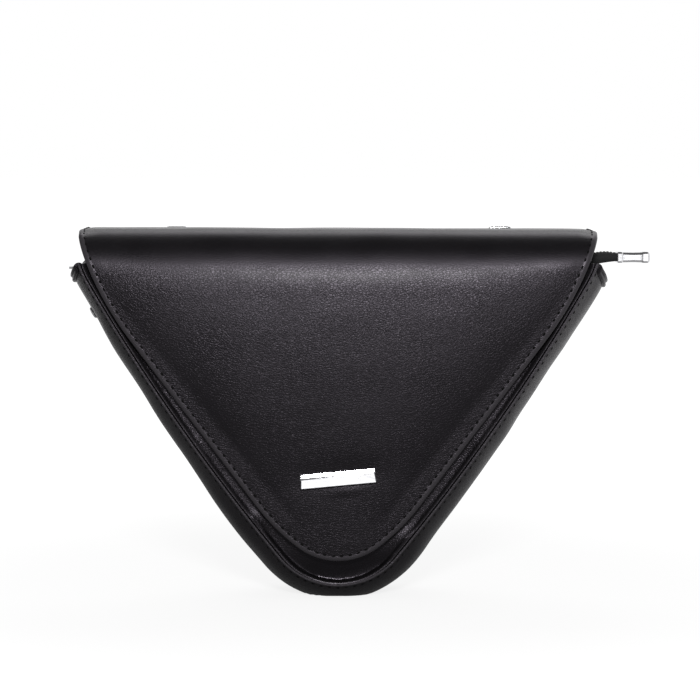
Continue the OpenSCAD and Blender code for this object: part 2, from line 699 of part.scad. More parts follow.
// Bar plate on the flap: a wide face under a narrow bevel, on two posts with a backing strip
post_r = 1.1;
backing_h = 2 / 3 * bar_h;
module on_bar() {
    translate([0, skirt_y, bar_z]) rotate([0, -bar_tilt, 0]) children();
}
module at_posts() {
    for (side = [-1, 1]) translate([side * (bar_l / 2 - bar_h), 0, 0]) children();
}
module bar_plate() {
    half_h = bar_h / 2;
    half_l = bar_l / 2;
    color(metal_colour) on_bar() {
        intersection() {
            along_x(-half_l, half_l) polygon([[0, -half_h], [-bar_t * 0.6, -half_h], [-bar_t, -half_h * 0.8],
                [-bar_t, half_h * 0.5], [-bar_t * 0.35, half_h], [0, half_h]]);
            translate([0, 0, -half_h]) linear_extrude(bar_h) polygon([[-half_l, 0], [-half_l, -bar_t * 0.4],
                [-half_l + bar_t / 2, -bar_t], [half_l - bar_t / 2, -bar_t], [half_l, -bar_t * 0.4],
                [half_l, 0]]);
        }
        at_posts() bar_y(0, 0, post_r, -bar_t / 2, leather_t + washer_t);
    }
}
module bar_backing() {
    color(metal_colour) on_bar() difference() {
        translate([-bar_l / 2 + bar_h / 2, leather_t, -backing_h / 2])
            cube([bar_l - bar_h, washer_t, backing_h]);
        at_posts() bar_y(0, 0, post_r + touch, -over, over);
    }
}

// Flap: its top turns on the rear hinge line, and its front turns on the fold in the crown
module flap_shape(inset) {
    intersection() {
        along_x(-mouth_z, mouth_z) children();
        slab(-mouth_z, mouth_z) polygon(flap_outline(inset, fold_z + over / 2));
    }
}
module flap_top_leather() {
    color(leather_colour) difference() {
        flap_shape(0) top_layers(0, board_in);
        flap_shape(turned_edge) top_layers(leather_t, board_in + clear);
    }
}
module flap_top_lining() {
    color(lining_colour) flap_shape(leather_t) top_layers(board_in, wall_in);
}
module flap_leather() {
    color(leather_colour) difference() {
        flap_shape(0) skirt_layers(0, board_in);
        flap_shape(turned_edge) skirt_layers(leather_t, board_in + clear);
        on_bar() at_posts() bar_y(0, 0, post_r + touch, -over, over);
    }
}
module flap_lining() {
    color(lining_colour) difference() {
        flap_shape(leather_t) skirt_layers(board_in, wall_in);
        bar_y(0, snap_z, snap_stem_r + touch, -mouth_z, 0);
    }
}
module flap_board() {
    color(board_colour) difference() {
        slab(skirt_y + leather_t, skirt_y + board_in)
            polygon(flap_outline(turned_edge + split_gap, shoulder_c.y - leather_t));
        bar_y(0, snap_z, snap_r + touch, skirt_y, 0);
        on_bar() translate([-bar_l / 2 + bar_h / 2 - touch, 0, -backing_h / 2 - touch])
            cube([bar_l - bar_h + 2 * touch, over, backing_h + 2 * touch]);
    }
}

// Strap rings, upright in leather tabs that are riveted to the back wall
wire_r = ring_wire / 2;
ring_y = wall_y + wire_r + leather_t - touch;
ring_z = fold_z + ring_proud - ring_h - wire_r;
ring_half = (ring_w + ring_wire) / 2;
low_corner = 1.6;
top_corner = 2.5;
tab_half = ring_half - low_corner - touch;
tab_bore_r = wire_r + clear / 2;
tab_t = 1.8 * leather_t;
tab_stem_r = 1.2;
tab_rivet_r = 2.8;
tab_rivet_z = ring_z - 0.6 * tab_l;
module at_tabs() {
    for (side = [-1, 1]) translate([side * ring_x, 0, tab_rivet_z]) children();
}
module tab(side) {
    wrap_r = ring_y - wall_y;
    color(leather_colour) translate([side * ring_x, 0, 0]) difference() {
        union() {
            bar_x(ring_y, ring_z, wrap_r, -tab_half, tab_half);
            translate([-tab_half, wall_y, ring_z - tab_l]) cube([2 * tab_half, tab_t, tab_l]);
        }
        bar_x(ring_y, ring_z, tab_bore_r, -over, over);
        bar_y(0, tab_rivet_z, tab_stem_r + touch, 0, 2 * wall_y);
    }
}
module left_tab() tab(-1);
module right_tab() tab(1);
module tab_rivets() {
    color(metal_colour) at_tabs() {
        bar_y(0, 0, tab_rivet_r, wall_y + tab_t, wall_y + tab_t + rivet_head_t);
        bar_y(0, 0, tab_stem_r, wall_y - board_in + touch, wall_y + tab_t + touch);
    }
}
module tab_rivet_washers() {
    color(metal_colour) at_tabs() difference() {
        bar_y(0, 0, tab_rivet_r, wall_y - board_in + touch, wall_y - board_in + washer_t);
        bar_y(0, 0, tab_stem_r + touch, 0, wall_y);
    }
}

// A quarter bend of the ring's wire, and its four sides
module wire_bend(corner) {
    rotate_extrude(angle = 90) translate([corner, 0]) circle(r = wire_r);
}
module ring(side) {
    color(metal_colour) translate([side * ring_x, ring_y, ring_z]) {
        bar_x(0, 0, wire_r, -ring_half + low_corner, ring_half - low_corner);
        bar_x(0, ring_h, wire_r, -ring_half + top_corner, ring_half - top_corner);
        for (m = [0, 1]) mirror([m, 0, 0]) {
            translate([ring_half, 0, low_corner]) cylinder(r = wire_r, h = ring_h - low_corner - top_corner);
            translate([ring_half - top_corner, 0, ring_h - top_corner]) rotate([90, 0, 0])
                wire_bend(top_corner);
            translate([ring_half - low_corner, 0, low_corner]) rotate([90, 90, 0]) wire_bend(low_corner);
        }
    }
}
module left_ring() ring(-1);
module right_ring() ring(1);

front_panel();
back_panel();
gusset();
front_board();
back_board();
front_lining();
back_lining();
gusset_lining();
collar_lining();
front_facing();
back_facing();
left_binding();
right_binding();
zip_end_tapes();
zip_end_teeth();
zip_top_stops();
zip_bottom_stop();
zip_neck();
snap_socket();
snap_socket_washer();
gusset_rivets();
gusset_rivet_washers();
left_tab();
right_tab();
tab_rivets();
tab_rivet_washers();
flap_top_leather();
flap_top_lining();
flap_leather();
flap_board();
flap_lining();
snap_stud();
snap_stud_washer();
bar_plate();
bar_backing();
front_zip_tape();
front_zip_teeth();
back_zip_tape();
back_zip_teeth();
zip_slider();
zip_pull();
zip_tail_tape();
zip_tail_cap();
left_ring();
right_ring();
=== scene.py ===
"""Small black shoulder bag with a triangular body and a wide flap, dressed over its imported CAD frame.

Lengths in the drawing functions are millimetres, in the frame of the CAD model. X is to the
viewer's right, Y goes back and Z up. The bag stands on its foot at the origin.
"""

import bisect
import math

import bmesh
import bpy
import numpy as np
from mathutils import Matrix, Vector, noise
from mathutils.geometry import delaunay_2d_cdt


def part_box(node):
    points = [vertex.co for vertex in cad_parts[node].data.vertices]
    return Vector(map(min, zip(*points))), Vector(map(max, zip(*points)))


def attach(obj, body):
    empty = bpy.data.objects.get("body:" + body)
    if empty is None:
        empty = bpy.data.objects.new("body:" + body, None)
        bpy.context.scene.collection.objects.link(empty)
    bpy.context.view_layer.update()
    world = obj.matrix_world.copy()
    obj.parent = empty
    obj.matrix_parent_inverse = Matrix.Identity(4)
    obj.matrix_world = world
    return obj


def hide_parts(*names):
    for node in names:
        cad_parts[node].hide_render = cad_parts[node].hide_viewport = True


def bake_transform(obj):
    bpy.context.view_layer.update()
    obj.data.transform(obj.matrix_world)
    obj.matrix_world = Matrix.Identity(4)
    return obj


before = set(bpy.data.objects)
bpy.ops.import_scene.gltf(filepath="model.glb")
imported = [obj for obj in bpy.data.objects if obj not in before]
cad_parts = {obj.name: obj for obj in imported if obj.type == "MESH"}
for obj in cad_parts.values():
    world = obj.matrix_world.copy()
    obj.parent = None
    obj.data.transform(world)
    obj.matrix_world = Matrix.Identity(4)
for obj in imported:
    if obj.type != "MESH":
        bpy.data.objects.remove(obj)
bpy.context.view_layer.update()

bl_info = {
    "name": "Triangular shoulder bag",
    "version": (1, 0, 0),
    "blender": (4, 5, 0),
    "location": "3D View > Sidebar > Bag",
    "description": "Leather, lining, zip and fittings of a small shoulder bag over its frame",
    "category": "Object",
}

MM = 0.001


# Sizes and colours


def colour_of(name, description, default):
    return bpy.props.FloatVectorProperty(
        name=name, description=description, subtype="COLOR", size=3, min=0, max=1, default=default)


def length_of(name, description, low, high, default):
    return bpy.props.FloatProperty(
        name=name, description=description, subtype="DISTANCE", unit="LENGTH",
        min=low, max=high, default=default)


def amount_of(name, description, high, default, unit="NONE"):
    return bpy.props.FloatProperty(
        name=name, description=description, unit=unit, min=0, max=high, default=default)


class BagLeatherSettings(bpy.types.PropertyGroup):
    """Leather of the flap, walls and gusset."""

    colour: colour_of("Leather colour", "Black with a slight plum tone", (0.0042, 0.0039, 0.0043))
    roughness: amount_of("Leather roughness", "Gloss of the leather's finish", 1, 0.315)
    grain_size: length_of("Grain size", "Width of one pebble of the grain", 0.0002, 0.004, 0.00066)
    grain_depth: amount_of("Grain depth", "How deep the creases between the pebbles look", 1, 0.55)
    pillow: length_of("Front swell", "How far the padded front wall swells under the flap", 0, 0.002, 0.0018)
    waviness: length_of("Waviness", "Soft unevenness of the leather", 0, 0.001, 0.0003)


class BagStitchSettings(bpy.types.PropertyGroup):
    """Thread and its rows."""

    colour: colour_of("Thread colour", "Black waxed thread", (0.0032, 0.003, 0.0032))
    pitch: length_of("Stitch pitch", "Distance from one stitch to the next", 0.001, 0.01, 0.0044)
    length: length_of("Stitch length", "Length of thread that shows", 0.001, 0.01, 0.0026)
    inset: length_of("Stitch inset", "Distance of the row from the flap's edge", 0.001, 0.01, 0.0029)


class BagClothSettings(bpy.types.PropertyGroup):
    """Lining, zip tape and boards."""

    lining: colour_of("Lining colour", "Dark woven lining", (0.045, 0.042, 0.046))
    tape: colour_of("Tape colour", "Black zip tape", (0.012, 0.012, 0.013))
    board: colour_of("Board colour", "Dark pulp board inside the walls", (0.045, 0.042, 0.038))


class BagMetalSettings(bpy.types.PropertyGroup):
    """Fittings."""

    colour: colour_of("Metal colour", "Nickel plate", (0.78, 0.78, 0.80))
    roughness: amount_of("Metal roughness", "Polish of the plate", 1, 0.12)


class BagStudioSettings(bpy.types.PropertyGroup):
    """Floor, lamps and camera."""

    strip: amount_of("Strip lamp", "Power of the small soft box above the camera", 200, 8.2, "POWER")
    top: amount_of("Top lamp", "Power of the wide soft box above and behind the bag", 200, 4.0, "POWER")
    cards: amount_of("White cards", "Power of the small cards that the polished fittings mirror",
                     10, 0.13, "POWER")
    fill: amount_of("World fill", "Strength of the surroundings", 2, 0.32)
    reflected: amount_of("Reflected surroundings", "Strength of the surroundings in glossy surfaces", 2, 0.12)
    view_angle: bpy.props.FloatProperty(
        name="View angle", description="The camera's angle of view",
        subtype="ANGLE", unit="ROTATION", min=0.05, max=2, default=math.radians(16.156))


# Drawing the bag

# Bends are (radius, turn in degrees), and circles of the side view are (y, z, radius)
WALL_Y = 25.0
MOUTH_Z = 175.5
FOLD_Z = 192.0
FOOT = (40.0, 50.5)
SIDE = (1044.87, 9.5)
BROW = (60.0, 12.0)
FOOT_RISE = 7.3
FOOT_BULGE, MOUTH_BULGE = 11.0, 6.7
SWELL_POWER = 2.4
SKIN_HALF = 24.4
LINING_HALF = 22.6
CROWN = (-9.208, 172.0, 20.0)
SHOULDER = (13.45, 161.435, 45.0)
CROWN_TURN = 65.0
BACK_FOLD = (21.0, 188.0, 4.0)
SKIRT_Y = -31.55
JOIN_Y = 0.0
FLAP_TOP_HALF = 135.9
FLAP_BENDS = ((35.0, 38.0), (117.0, 15.0))
FLAP_TIP_Z = 21.0
STRAIGHT_L = 106.254
WING = (184.0, 20.0)


def bend(start, heading, radius, turn):
    """Point and heading after a bend, in degrees."""
    a, b = math.radians(heading), math.radians(heading + turn)
    return (start[0] + radius * (math.sin(b) - math.sin(a)),
            start[1] + radius * (math.cos(a) - math.cos(b)), heading + turn)


def arc_length(radius, turn):
    return radius * math.radians(turn)


FOOT_END = bend((0, FOOT_RISE), 0, *FOOT)
SIDE_END = bend(FOOT_END, FOOT[1], *SIDE)
FOOT_LEN, SIDE_LEN, BROW_LEN = arc_length(*FOOT), arc_length(*SIDE), arc_length(*BROW)
SEAM_LEN = FOOT_LEN + SIDE_LEN + BROW_LEN


def seam_at(s):
    """Point and heading of the seam path at a length from the middle of the foot."""
    if s <= FOOT_LEN:
        return bend((0, FOOT_RISE), 0, FOOT[0], math.degrees(s / FOOT[0]))
    if s <= FOOT_LEN + SIDE_LEN:
        return bend(FOOT_END, FOOT[1], SIDE[0], math.degrees((s - FOOT_LEN) / SIDE[0]))
    return bend(SIDE_END, SIDE_END[2], BROW[0], math.degrees((s - FOOT_LEN - SIDE_LEN) / BROW[0]))


def smooth(x, low, high):
    """0 at low, 1 at high, with a soft start and end."""
    t = min(1.0, max(0.0, (x - low) / (high - low)))
    return t * t * (3 - 2 * t)


def through(table, x):
    """Value at x of a curve given by its points, straight between them."""
    i = bisect.bisect([p[0] for p in table], x)
    if i == 0:
        return table[0][1]
    if i == len(table):
        return table[-1][1]
    (x0, v0), (x1, v1) = table[i - 1], table[i]
    return v0 + (v1 - v0) * (x - x0) / (x1 - x0)


def eased(table, x):
    """Value at x of a curve given by its points from high to low, with smooth turns between them."""
    points = table[::-1]
    i = min(max(bisect.bisect([p[0] for p in points], x), 1), len(points) - 1)
    (x0, v0), (x1, v1) = points[i - 1], points[i]
    before, after = points[max(i - 2, 0)], points[min(i + 1, len(points) - 1)]
    m0, m1 = (v1 - before[1]) / (x1 - before[0]), (after[1] - v0) / (after[0] - x0)
    h = x1 - x0
    u = min(1.0, max(0.0, (x - x0) / h))
    return ((1 + 2 * u) * v0 + u * h * m0) * (1 - u) ** 2 + ((3 - 2 * u) * v1 - (1 - u) * h * m1) * u * u


def swell(y, half):
    return 1 - min(1.0, abs(y) / half) ** SWELL_POWER


def bulge_at(s):
    return FOOT_BULGE + (MOUTH_BULGE - FOOT_BULGE) * min(s, SEAM_LEN) / SEAM_LEN


def dip(side, y):
    """How far the gusset's top edge sinks between the walls; the right one sinks further."""
    return (6.9 if side > 0 else 5.2) * swell(y, WALL_Y)


def gusset_point(side, s, y, out, floor):
    """A point of the gusset by its side, length along the seam, depth and distance out."""
    x, z, heading = seam_at(s * (1 - dip(side, y) * smooth(s, 60, SEAM_LEN) / SEAM_LEN))
    h = math.radians(heading)
    return Vector((side * (x + out * math.sin(h)), y, max(floor, z - out * math.cos(h))))


# The leather's face in side view: lengths along it, from the back wall's foot over the top
RISE_END = BACK_FOLD[1]
FOLD_END = RISE_END + arc_length(BACK_FOLD[2], 90)
FLAT_END = FOLD_END + BACK_FOLD[0] - CROWN[0]
CROWN_END = FLAT_END + arc_length(CROWN[2], CROWN_TURN)
SHOULDER_END = CROWN_END + arc_length(SHOULDER[2], 90 - CROWN_TURN)
JOIN_S = FOLD_END + BACK_FOLD[0] - JOIN_Y


def around(circle, angle):
    """Point on a circle of the side view and its outward direction, by its angle from +Y."""
    y, z, radius = circle
    n = (math.cos(angle), math.sin(angle))
    return y + radius * n[0], z + radius * n[1], n[0], n[1]


def face_at(s):
    """Depth, height and outward direction of the leather's face at a length along it."""
    if s <= RISE_END:
        return WALL_Y, s, 1, 0
    if s <= FOLD_END:
        return around(BACK_FOLD, (s - RISE_END) / BACK_FOLD[2])
    if s <= FLAT_END:
        return BACK_FOLD[0] - (s - FOLD_END), FOLD_Z, 0, 1
    if s <= CROWN_END:
        return around(CROWN, math.pi / 2 + (s - FLAT_END) / CROWN[2])
    if s <= SHOULDER_END:
        return around(SHOULDER, math.pi / 2 + math.radians(CROWN_TURN) + (s - CROWN_END) / SHOULDER[2])
    return SKIRT_Y, SHOULDER[1] - (s - SHOULDER_END), -1, 0


def front_length(z):
    """Length along the face of a height on the flap's front."""
    if z <= SHOULDER[1]:
        return SHOULDER_END + SHOULDER[1] - z
    tilt = math.asin(min(1, (z - SHOULDER[1]) / SHOULDER[2]))
    if math.degrees(tilt) <= 90 - CROWN_TURN:
        return SHOULDER_END - SHOULDER[2] * tilt
    return FLAT_END + CROWN[2] * math.acos(min(1, (z - CROWN[1]) / CROWN[2]))


def walked(start, bends, step):
    """Points and headings along bends (radius, turn) and straights (None, length)."""
    at, path = (*start, 0.0), [(*start, 0.0)]
    for radius, turn in bends:
        length = turn if radius is None else arc_length(radius, turn)
        n = max(1, round(length / step))
        for i in range(1, n + 1):
            if radius is None:
                h, gone = math.radians(at[2]), i / n * length
                path.append((at[0] + gone * math.cos(h), at[1] + gone * math.sin(h), at[2]))
            else:
                path.append(bend(at, at[2], radius, turn * i / n))
        at = path[-1]
    return path


def offset_line(line, inset):
    """A line of points moved by an inset to the side that it bends round."""
    p = np.array(line, float)
    x, v = p[:, 0], p[:, 1]
    if float(x @ np.roll(v, -1) - v @ np.roll(x, -1)) < 0:
        inset = -inset
    along = np.gradient(p, axis=0)
    along[0], along[-1] = p[1] - p[0], p[-1] - p[-2]
    along /= np.linalg.norm(along, axis=1)[:, None]
    return p + inset * np.stack([-along[:, 1], along[:, 0]], axis=1)


def seam_half(inset, step, top):
    """Right half of the seam path up to a height, moved in by an inset that may change with height."""
    line = []
    for x, z, heading in walked((0, FOOT_RISE), (FOOT, SIDE, BROW), step):
        h = math.radians(heading)
        line.append((x - inset(z) * math.sin(h), z + inset(z) * math.cos(h)))
    return [p for p in line if p[1] < top]


def arc(centre, radius, degrees):
    """Points of a circle at some angles."""
    return [(centre[0] + radius * math.cos(a), centre[1] + radius * math.sin(a))
            for a in (math.radians(angle) for angle in degrees)]


def full_turn(steps):
    return [2 * math.pi * i / steps for i in range(steps)]


def both_halves(right):
    """The whole line from the left end through the middle to the right end."""
    return [(-x, v) for x, v in right[:0:-1]] + list(right)


# Mesh making


def add_mesh(name, points, faces, material, sharp=38.0):
    """A piece from points in millimetres. Faces are smooth, with sharp edges kept by angle."""
    mesh = bpy.data.meshes.new(name)
    mesh.from_pydata([tuple(c * MM for c in p) for p in points], [], [tuple(f) for f in faces])
    mesh.validate()
    obj = bpy.data.objects.new(name, mesh)
    bpy.context.scene.collection.objects.link(obj)
    finish_mesh(obj, material, sharp)
    return obj


def finish_mesh(obj, material, sharp):
    mesh = obj.data
    mesh.polygons.foreach_set("use_smooth", [True] * len(mesh.polygons))
    mesh.set_sharp_from_angle(angle=math.radians(sharp))
    mesh.materials.clear()
    mesh.materials.append(material)


def cut_pattern(edge, closing, insets, pitch):
    """Flat pattern of a leather piece: rings that follow its edge and a grid inside them.

    The edge runs along the open side, and the closing line joins its ends. Returns points,
    each point's distance from the edge, and triangles.
    """
    rings = [offset_line(edge, d) for d in insets]
    points, depths, links = [], [], []
    for d, ring in zip(insets, rings):
        first = len(points)
        points += [tuple(p) for p in ring]
        depths += [d] * len(ring)
        links += [(first + i, first + i + 1) for i in range(len(ring) - 1)]
    n, last = len(edge), len(rings) - 1
    ends = [[k * n for k in range(last + 1)], [k * n + n - 1 for k in range(last + 1)]]
    close = []
    for x, v in closing:
        if abs(x) < abs(rings[-1][-1][0]) - pitch * 0.4:
            close.append(len(points))
            points.append((x, v))
            depths.append(None)
    chain = ends[0] + close + ends[1][::-1]
    links += list(zip(chain, chain[1:]))
    inner = np.array(rings[-1])
    base = np.array(edge)
    low, high = base.min(axis=0), base.max(axis=0)
    close_line = np.array([points[i] for i in close]) if close else inner[:1]
    grid = []
    rows = int((high[1] - low[1]) / (pitch * 0.866)) + 1
    for r in range(rows):
        v = low[1] + r * pitch * 0.866
        for x in np.arange(low[0] + (r % 2) * pitch / 2, high[0], pitch):
            grid.append((x, v))
    grid = np.array(grid)
    loop = np.concatenate([inner, close_line[::-1]])
    keep = inside_loop(grid, loop) & (nearest(grid, loop) > 0.55 * pitch)
    grid = grid[keep]
    points += [tuple(p) for p in grid]
    depths += [None] * len(grid)
    missing = [i for i, d in enumerate(depths) if d is None]
    far = nearest(np.array([points[i] for i in missing]), base)
    for i, d in zip(missing, far):
        depths[i] = float(d)
    made = delaunay_2d_cdt([Vector(p) for p in points], links, [], 1, 1e-5)
    verts, tris, origin = made[0], made[2], made[3]
    return ([tuple(v) for v in verts], [depths[o[0]] if o else 0.0 for o in origin],
            [tuple(t) for t in tris])


def inside_loop(p, loop):
    """Which points lie inside a closed loop."""
    a, b = loop, np.roll(loop, -1, axis=0)
    hit = np.zeros(len(p), bool)
    for (ax, ay), (bx, by) in zip(a, b):
        if ay == by:
            continue
        across = (p[:, 1] > min(ay, by)) & (p[:, 1] <= max(ay, by))
        x = ax + (p[:, 1] - ay) * (bx - ax) / (by - ay)
        hit ^= across & (p[:, 0] < x)
    return hit


def nearest(p, line):
    """Distance of each point from a line of points, measured to its stretches."""
    best = np.full(len(p), 1e9)
    for a, b in zip(line[:-1], line[1:]):
        d = b - a
        length = float(d @ d)
        t = np.clip(((p - a) @ d) / length, 0, 1) if length > 1e-12 else np.zeros(len(p))
        best = np.minimum(best, np.linalg.norm(p - a - t[:, None] * d, axis=1))
    return best


def paint(obj, name, values):
    """Stores one number for each vertex of a piece, for its material to read."""
    attribute = obj.data.attributes.new(name, "FLOAT", "POINT")
    attribute.data.foreach_set("value", values)


def dress(piece, slot, body, *nodes):
    """Says which CAD nodes a piece replaces and the body that it rides on; slot is not used."""
    if nodes:
        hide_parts(*nodes)
    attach(piece, body)


def slab_mesh(name, pattern, place, face_height, back_height, material, marks=None):
    """A closed sheet over a pattern, as a piece.

    place gives a point and its outward direction, and the heights say how far its face and its
    back lie along that direction. marks names curves over the distance from the edge, or
    functions of the place, which the material reads.
    """
    flat, depth, tris = pattern
    face, back = [], []
    for (x, v), d in zip(flat, depth):
        p, n = place(x, v)
        face.append(p + n * face_height(x, v, d))
        back.append(p + n * back_height(x, v, d))
    count = len(flat)
    a, b, c = (Vector(face[i]) for i in tris[len(tris) // 2])
    outward = place(*flat[tris[len(tris) // 2][0]])[1]
    flip = (b - a).cross(c - a).dot(outward) < 0
    faces = [t[::-1] if flip else t for t in tris]
    border = {}
    for t in faces:
        for i, j in ((t[0], t[1]), (t[1], t[2]), (t[2], t[0])):
            border[(i, j)] = (j, i) not in border and border.get((i, j), True)
            if (j, i) in border:
                border[(j, i)] = border[(i, j)] = False
    walls = [(j, i, i + count, j + count) for (i, j), open_edge in border.items() if open_edge]
    backs = [tuple(i + count for i in t[::-1]) for t in faces]
    obj = add_mesh(name, face + back, faces + walls + backs, material)
    for mark, curve in (marks or {}).items():
        paint(obj, mark, [curve(x, v, d) if callable(curve) else through(curve, d)
                          for (x, v), d in zip(flat, depth)] * 2)
    return obj


def sweep_mesh(name, rings, material, sharp=38.0, loop=False):
    """A closed tube through rings of points, which run round it the same way."""
    n, count = len(rings[0]), len(rings)
    points = [p for ring in rings for p in ring]
    faces = []
    for i in range(count if loop else count - 1):
        k = (i + 1) % count
        for j in range(n):
            m = (j + 1) % n
            faces.append((i * n + j, i * n + m, k * n + m, k * n + j))
    if not loop:
        faces.append(tuple(range(n - 1, -1, -1)))
        faces.append(tuple((count - 1) * n + j for j in range(n)))
    obj = add_mesh(name, points, faces, material, sharp)
    if volume_of(obj.data) < 0:
        obj.data.flip_normals()
    return obj


def volume_of(mesh):
    """Signed volume, negative where the faces point inwards."""
    mesh.calc_loop_triangles()
    total = 0.0
    for t in mesh.loop_triangles:
        a, b, c = (mesh.vertices[i].co for i in t.vertices)
        total += a.dot(b.cross(c))
    return total / 6


def join_pieces(name, pieces):
    """One piece from several; the first one's materials come first."""
    bpy.ops.object.select_all(action="DESELECT")
    for o in pieces:
        o.select_set(True)
    bpy.context.view_layer.objects.active = pieces[0]
    bpy.ops.object.join()
    pieces[0].name = name
    pieces[0].data.name = name
    return pieces[0]


def bevelled_copy(node_name, material, width):
    """A welded copy of a CAD node with rounded edges, as a plain mesh."""
    obj = bpy.data.objects.new(node_name + "_metal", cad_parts[node_name].data.copy())
    bpy.context.scene.collection.objects.link(obj)
    bm = bmesh.new()
    bm.from_mesh(obj.data)
    bmesh.ops.remove_doubles(bm, verts=bm.verts, dist=1e-6)
    bmesh.ops.dissolve_limit(bm, angle_limit=math.radians(1), verts=bm.verts, edges=bm.edges)
    bm.to_mesh(obj.data)
    bm.free()
    bevel = obj.modifiers.new("Edges", "BEVEL")
    bevel.width = width
    bevel.segments = 2
    bevel.limit_method = "ANGLE"
    bevel.angle_limit = math.radians(35)
    return baked(obj, material, 38.0)


def baked(obj, material, sharp):
    """The piece with its modifiers applied."""
    graph = bpy.context.evaluated_depsgraph_get()
    mesh = bpy.data.meshes.new_from_object(obj.evaluated_get(graph), depsgraph=graph)
    obj.modifiers.clear()
    obj.data = mesh
    mesh.name = obj.name
    finish_mesh(obj, material, sharp)
    return obj


def wave(x, y, z, size, seed=0.0):
    """Soft unevenness between -1 and 1 with bumps of about a size."""
    return noise.noise(Vector((x / size + seed, y / size - seed, z / size + 0.37 * seed)))


# Shader node groups


def node(tree, kind, at=(0, 0), inputs=None, **settings):
    """A node with its settings, and its inputs as for feed."""
    made = tree.nodes.new(kind)
    made.location = at
    for key, value in settings.items():
        setattr(made, key, value)
    feed(tree, made, inputs or {})
    return made


def feed(tree, made, inputs):
    """Gives inputs of a node, by name or number, a plain value or another node's output."""
    for key, value in inputs.items():
        if isinstance(value, bpy.types.NodeSocket):
            tree.links.new(value, made.inputs[key])
        else:
            made.inputs[key].default_value = value


def maths(tree, operation, a, b=None, clamp=False):
    inputs = {0: a} if b is None else {0: a, 1: b}
    return node(tree, "ShaderNodeMath", inputs=inputs, operation=operation, use_clamp=clamp).outputs[0]


def ranged(tree, value, low, high, to_low, to_high):
    inputs = {"Value": value, "From Min": low, "From Max": high, "To Min": to_low, "To Max": to_high}
    return node(tree, "ShaderNodeMapRange", inputs=inputs, interpolation_type="SMOOTHSTEP").outputs[0]


def texture(tree, vector, scale, detail=2.0, at=(0, 0)):
    """Noise of a scale and detail."""
    return node(tree, "ShaderNodeTexNoise", at, {"Vector": vector, "Scale": scale, "Detail": detail})


def new_group(name, kind, inputs, outputs):
    """An empty node group with its input and output nodes, or the finished one without them.

    inputs and outputs are tuples of a name, a socket type and, where it has one, a first value.
    """
    if name in bpy.data.node_groups:
        return bpy.data.node_groups[name], None, None
    g = bpy.data.node_groups.new(name, kind)
    for way, sockets in (("INPUT", inputs), ("OUTPUT", outputs)):
        for label, sort, *first in sockets:
            made = g.interface.new_socket(name=label, in_out=way, socket_type="NodeSocket" + sort)
            if first:
                made.default_value = first[0]
    return g, node(g, "NodeGroupInput", (-1000, 0)).outputs, node(g, "NodeGroupOutput", (1200, 0))


def grain_group():
    """Pebbled leather grain: height, crease mask and soft mottling."""
    g, get, put = new_group(
        "Leather grain", "ShaderNodeTree",
        (("Vector", "Vector"), ("Pebbles per metre", "Float", 1180.0), ("Crease", "Float", 0.6)),
        (("Height", "Float"), ("Creases", "Float"), ("Mottle", "Float")))
    if put is None:
        return g
    vector, pebbles = get["Vector"], get["Pebbles per metre"]
    drawn = node(g, "ShaderNodeMapping", (-800, 0), {"Scale": (0.72, 1.0, 1.1), "Vector": vector})
    bent = texture(g, drawn.outputs[0], maths(g, "MULTIPLY", pebbles, 0.45), 2, (-700, 200))
    shift = node(g, "ShaderNodeVectorMath", (-500, 200), {"Scale": 0.0007, 0: bent.outputs["Color"]},
                 operation="SCALE")
    moved = node(g, "ShaderNodeVectorMath", (-350, 100), {0: drawn.outputs[0], 1: shift.outputs[0]},
                 operation="ADD").outputs[0]
    cells = node(g, "ShaderNodeTexVoronoi", (-150, 200), feature="SMOOTH_F1")
    feed(g, cells, {"Smoothness": 0.35, "Vector": moved, "Scale": pebbles})
    edges = node(g, "ShaderNodeTexVoronoi", (-150, -100), feature="DISTANCE_TO_EDGE")
    feed(g, edges, {"Vector": moved, "Scale": maths(g, "MULTIPLY", pebbles, 0.55)})
    fine = texture(g, vector, maths(g, "MULTIPLY", pebbles, 2.6), 3, (-150, -350))
    soft = texture(g, vector, 34, 4, (-150, -600))
    crease = ranged(g, edges.outputs["Distance"], 0.0, 0.13, 1.0, 0.0)
    dome = maths(g, "SUBTRACT", 1.0, cells.outputs["Distance"])
    cut = maths(g, "MULTIPLY", crease, get["Crease"])
    body = maths(g, "ADD", maths(g, "SUBTRACT", dome, cut), maths(g, "MULTIPLY", fine.outputs["Fac"], 0.35))
    feed(g, put, {"Height": body, "Creases": crease, "Mottle": soft.outputs["Fac"]})
    return g


def weave_group():
    """Plain weave of threads along X and the second direction: height and a thread mask."""
    g, get, put = new_group("Plain weave", "ShaderNodeTree",
                            (("Vector", "Vector"), ("Threads per metre", "Float", 1800.0)),
                            (("Height", "Float"), ("Warp", "Float")))
    if put is None:
        return g
    split = node(g, "ShaderNodeSeparateXYZ", (-700, 0), {0: get["Vector"]}).outputs
    turns = maths(g, "MULTIPLY", get["Threads per metre"], math.pi)
    su = maths(g, "SINE", maths(g, "MULTIPLY", split["X"], turns))
    sv = maths(g, "SINE", maths(g, "MULTIPLY", maths(g, "ADD", split["Z"], split["Y"]), turns))
    warp = ranged(g, maths(g, "MULTIPLY", su, sv), -0.25, 0.25, 0.0, 1.0)
    a = maths(g, "MULTIPLY", maths(g, "ABSOLUTE", su), warp)
    b = maths(g, "MULTIPLY", maths(g, "ABSOLUTE", sv), maths(g, "SUBTRACT", 1.0, warp))
    feed(g, put, {"Height": maths(g, "ADD", a, b), "Warp": warp})
    return g


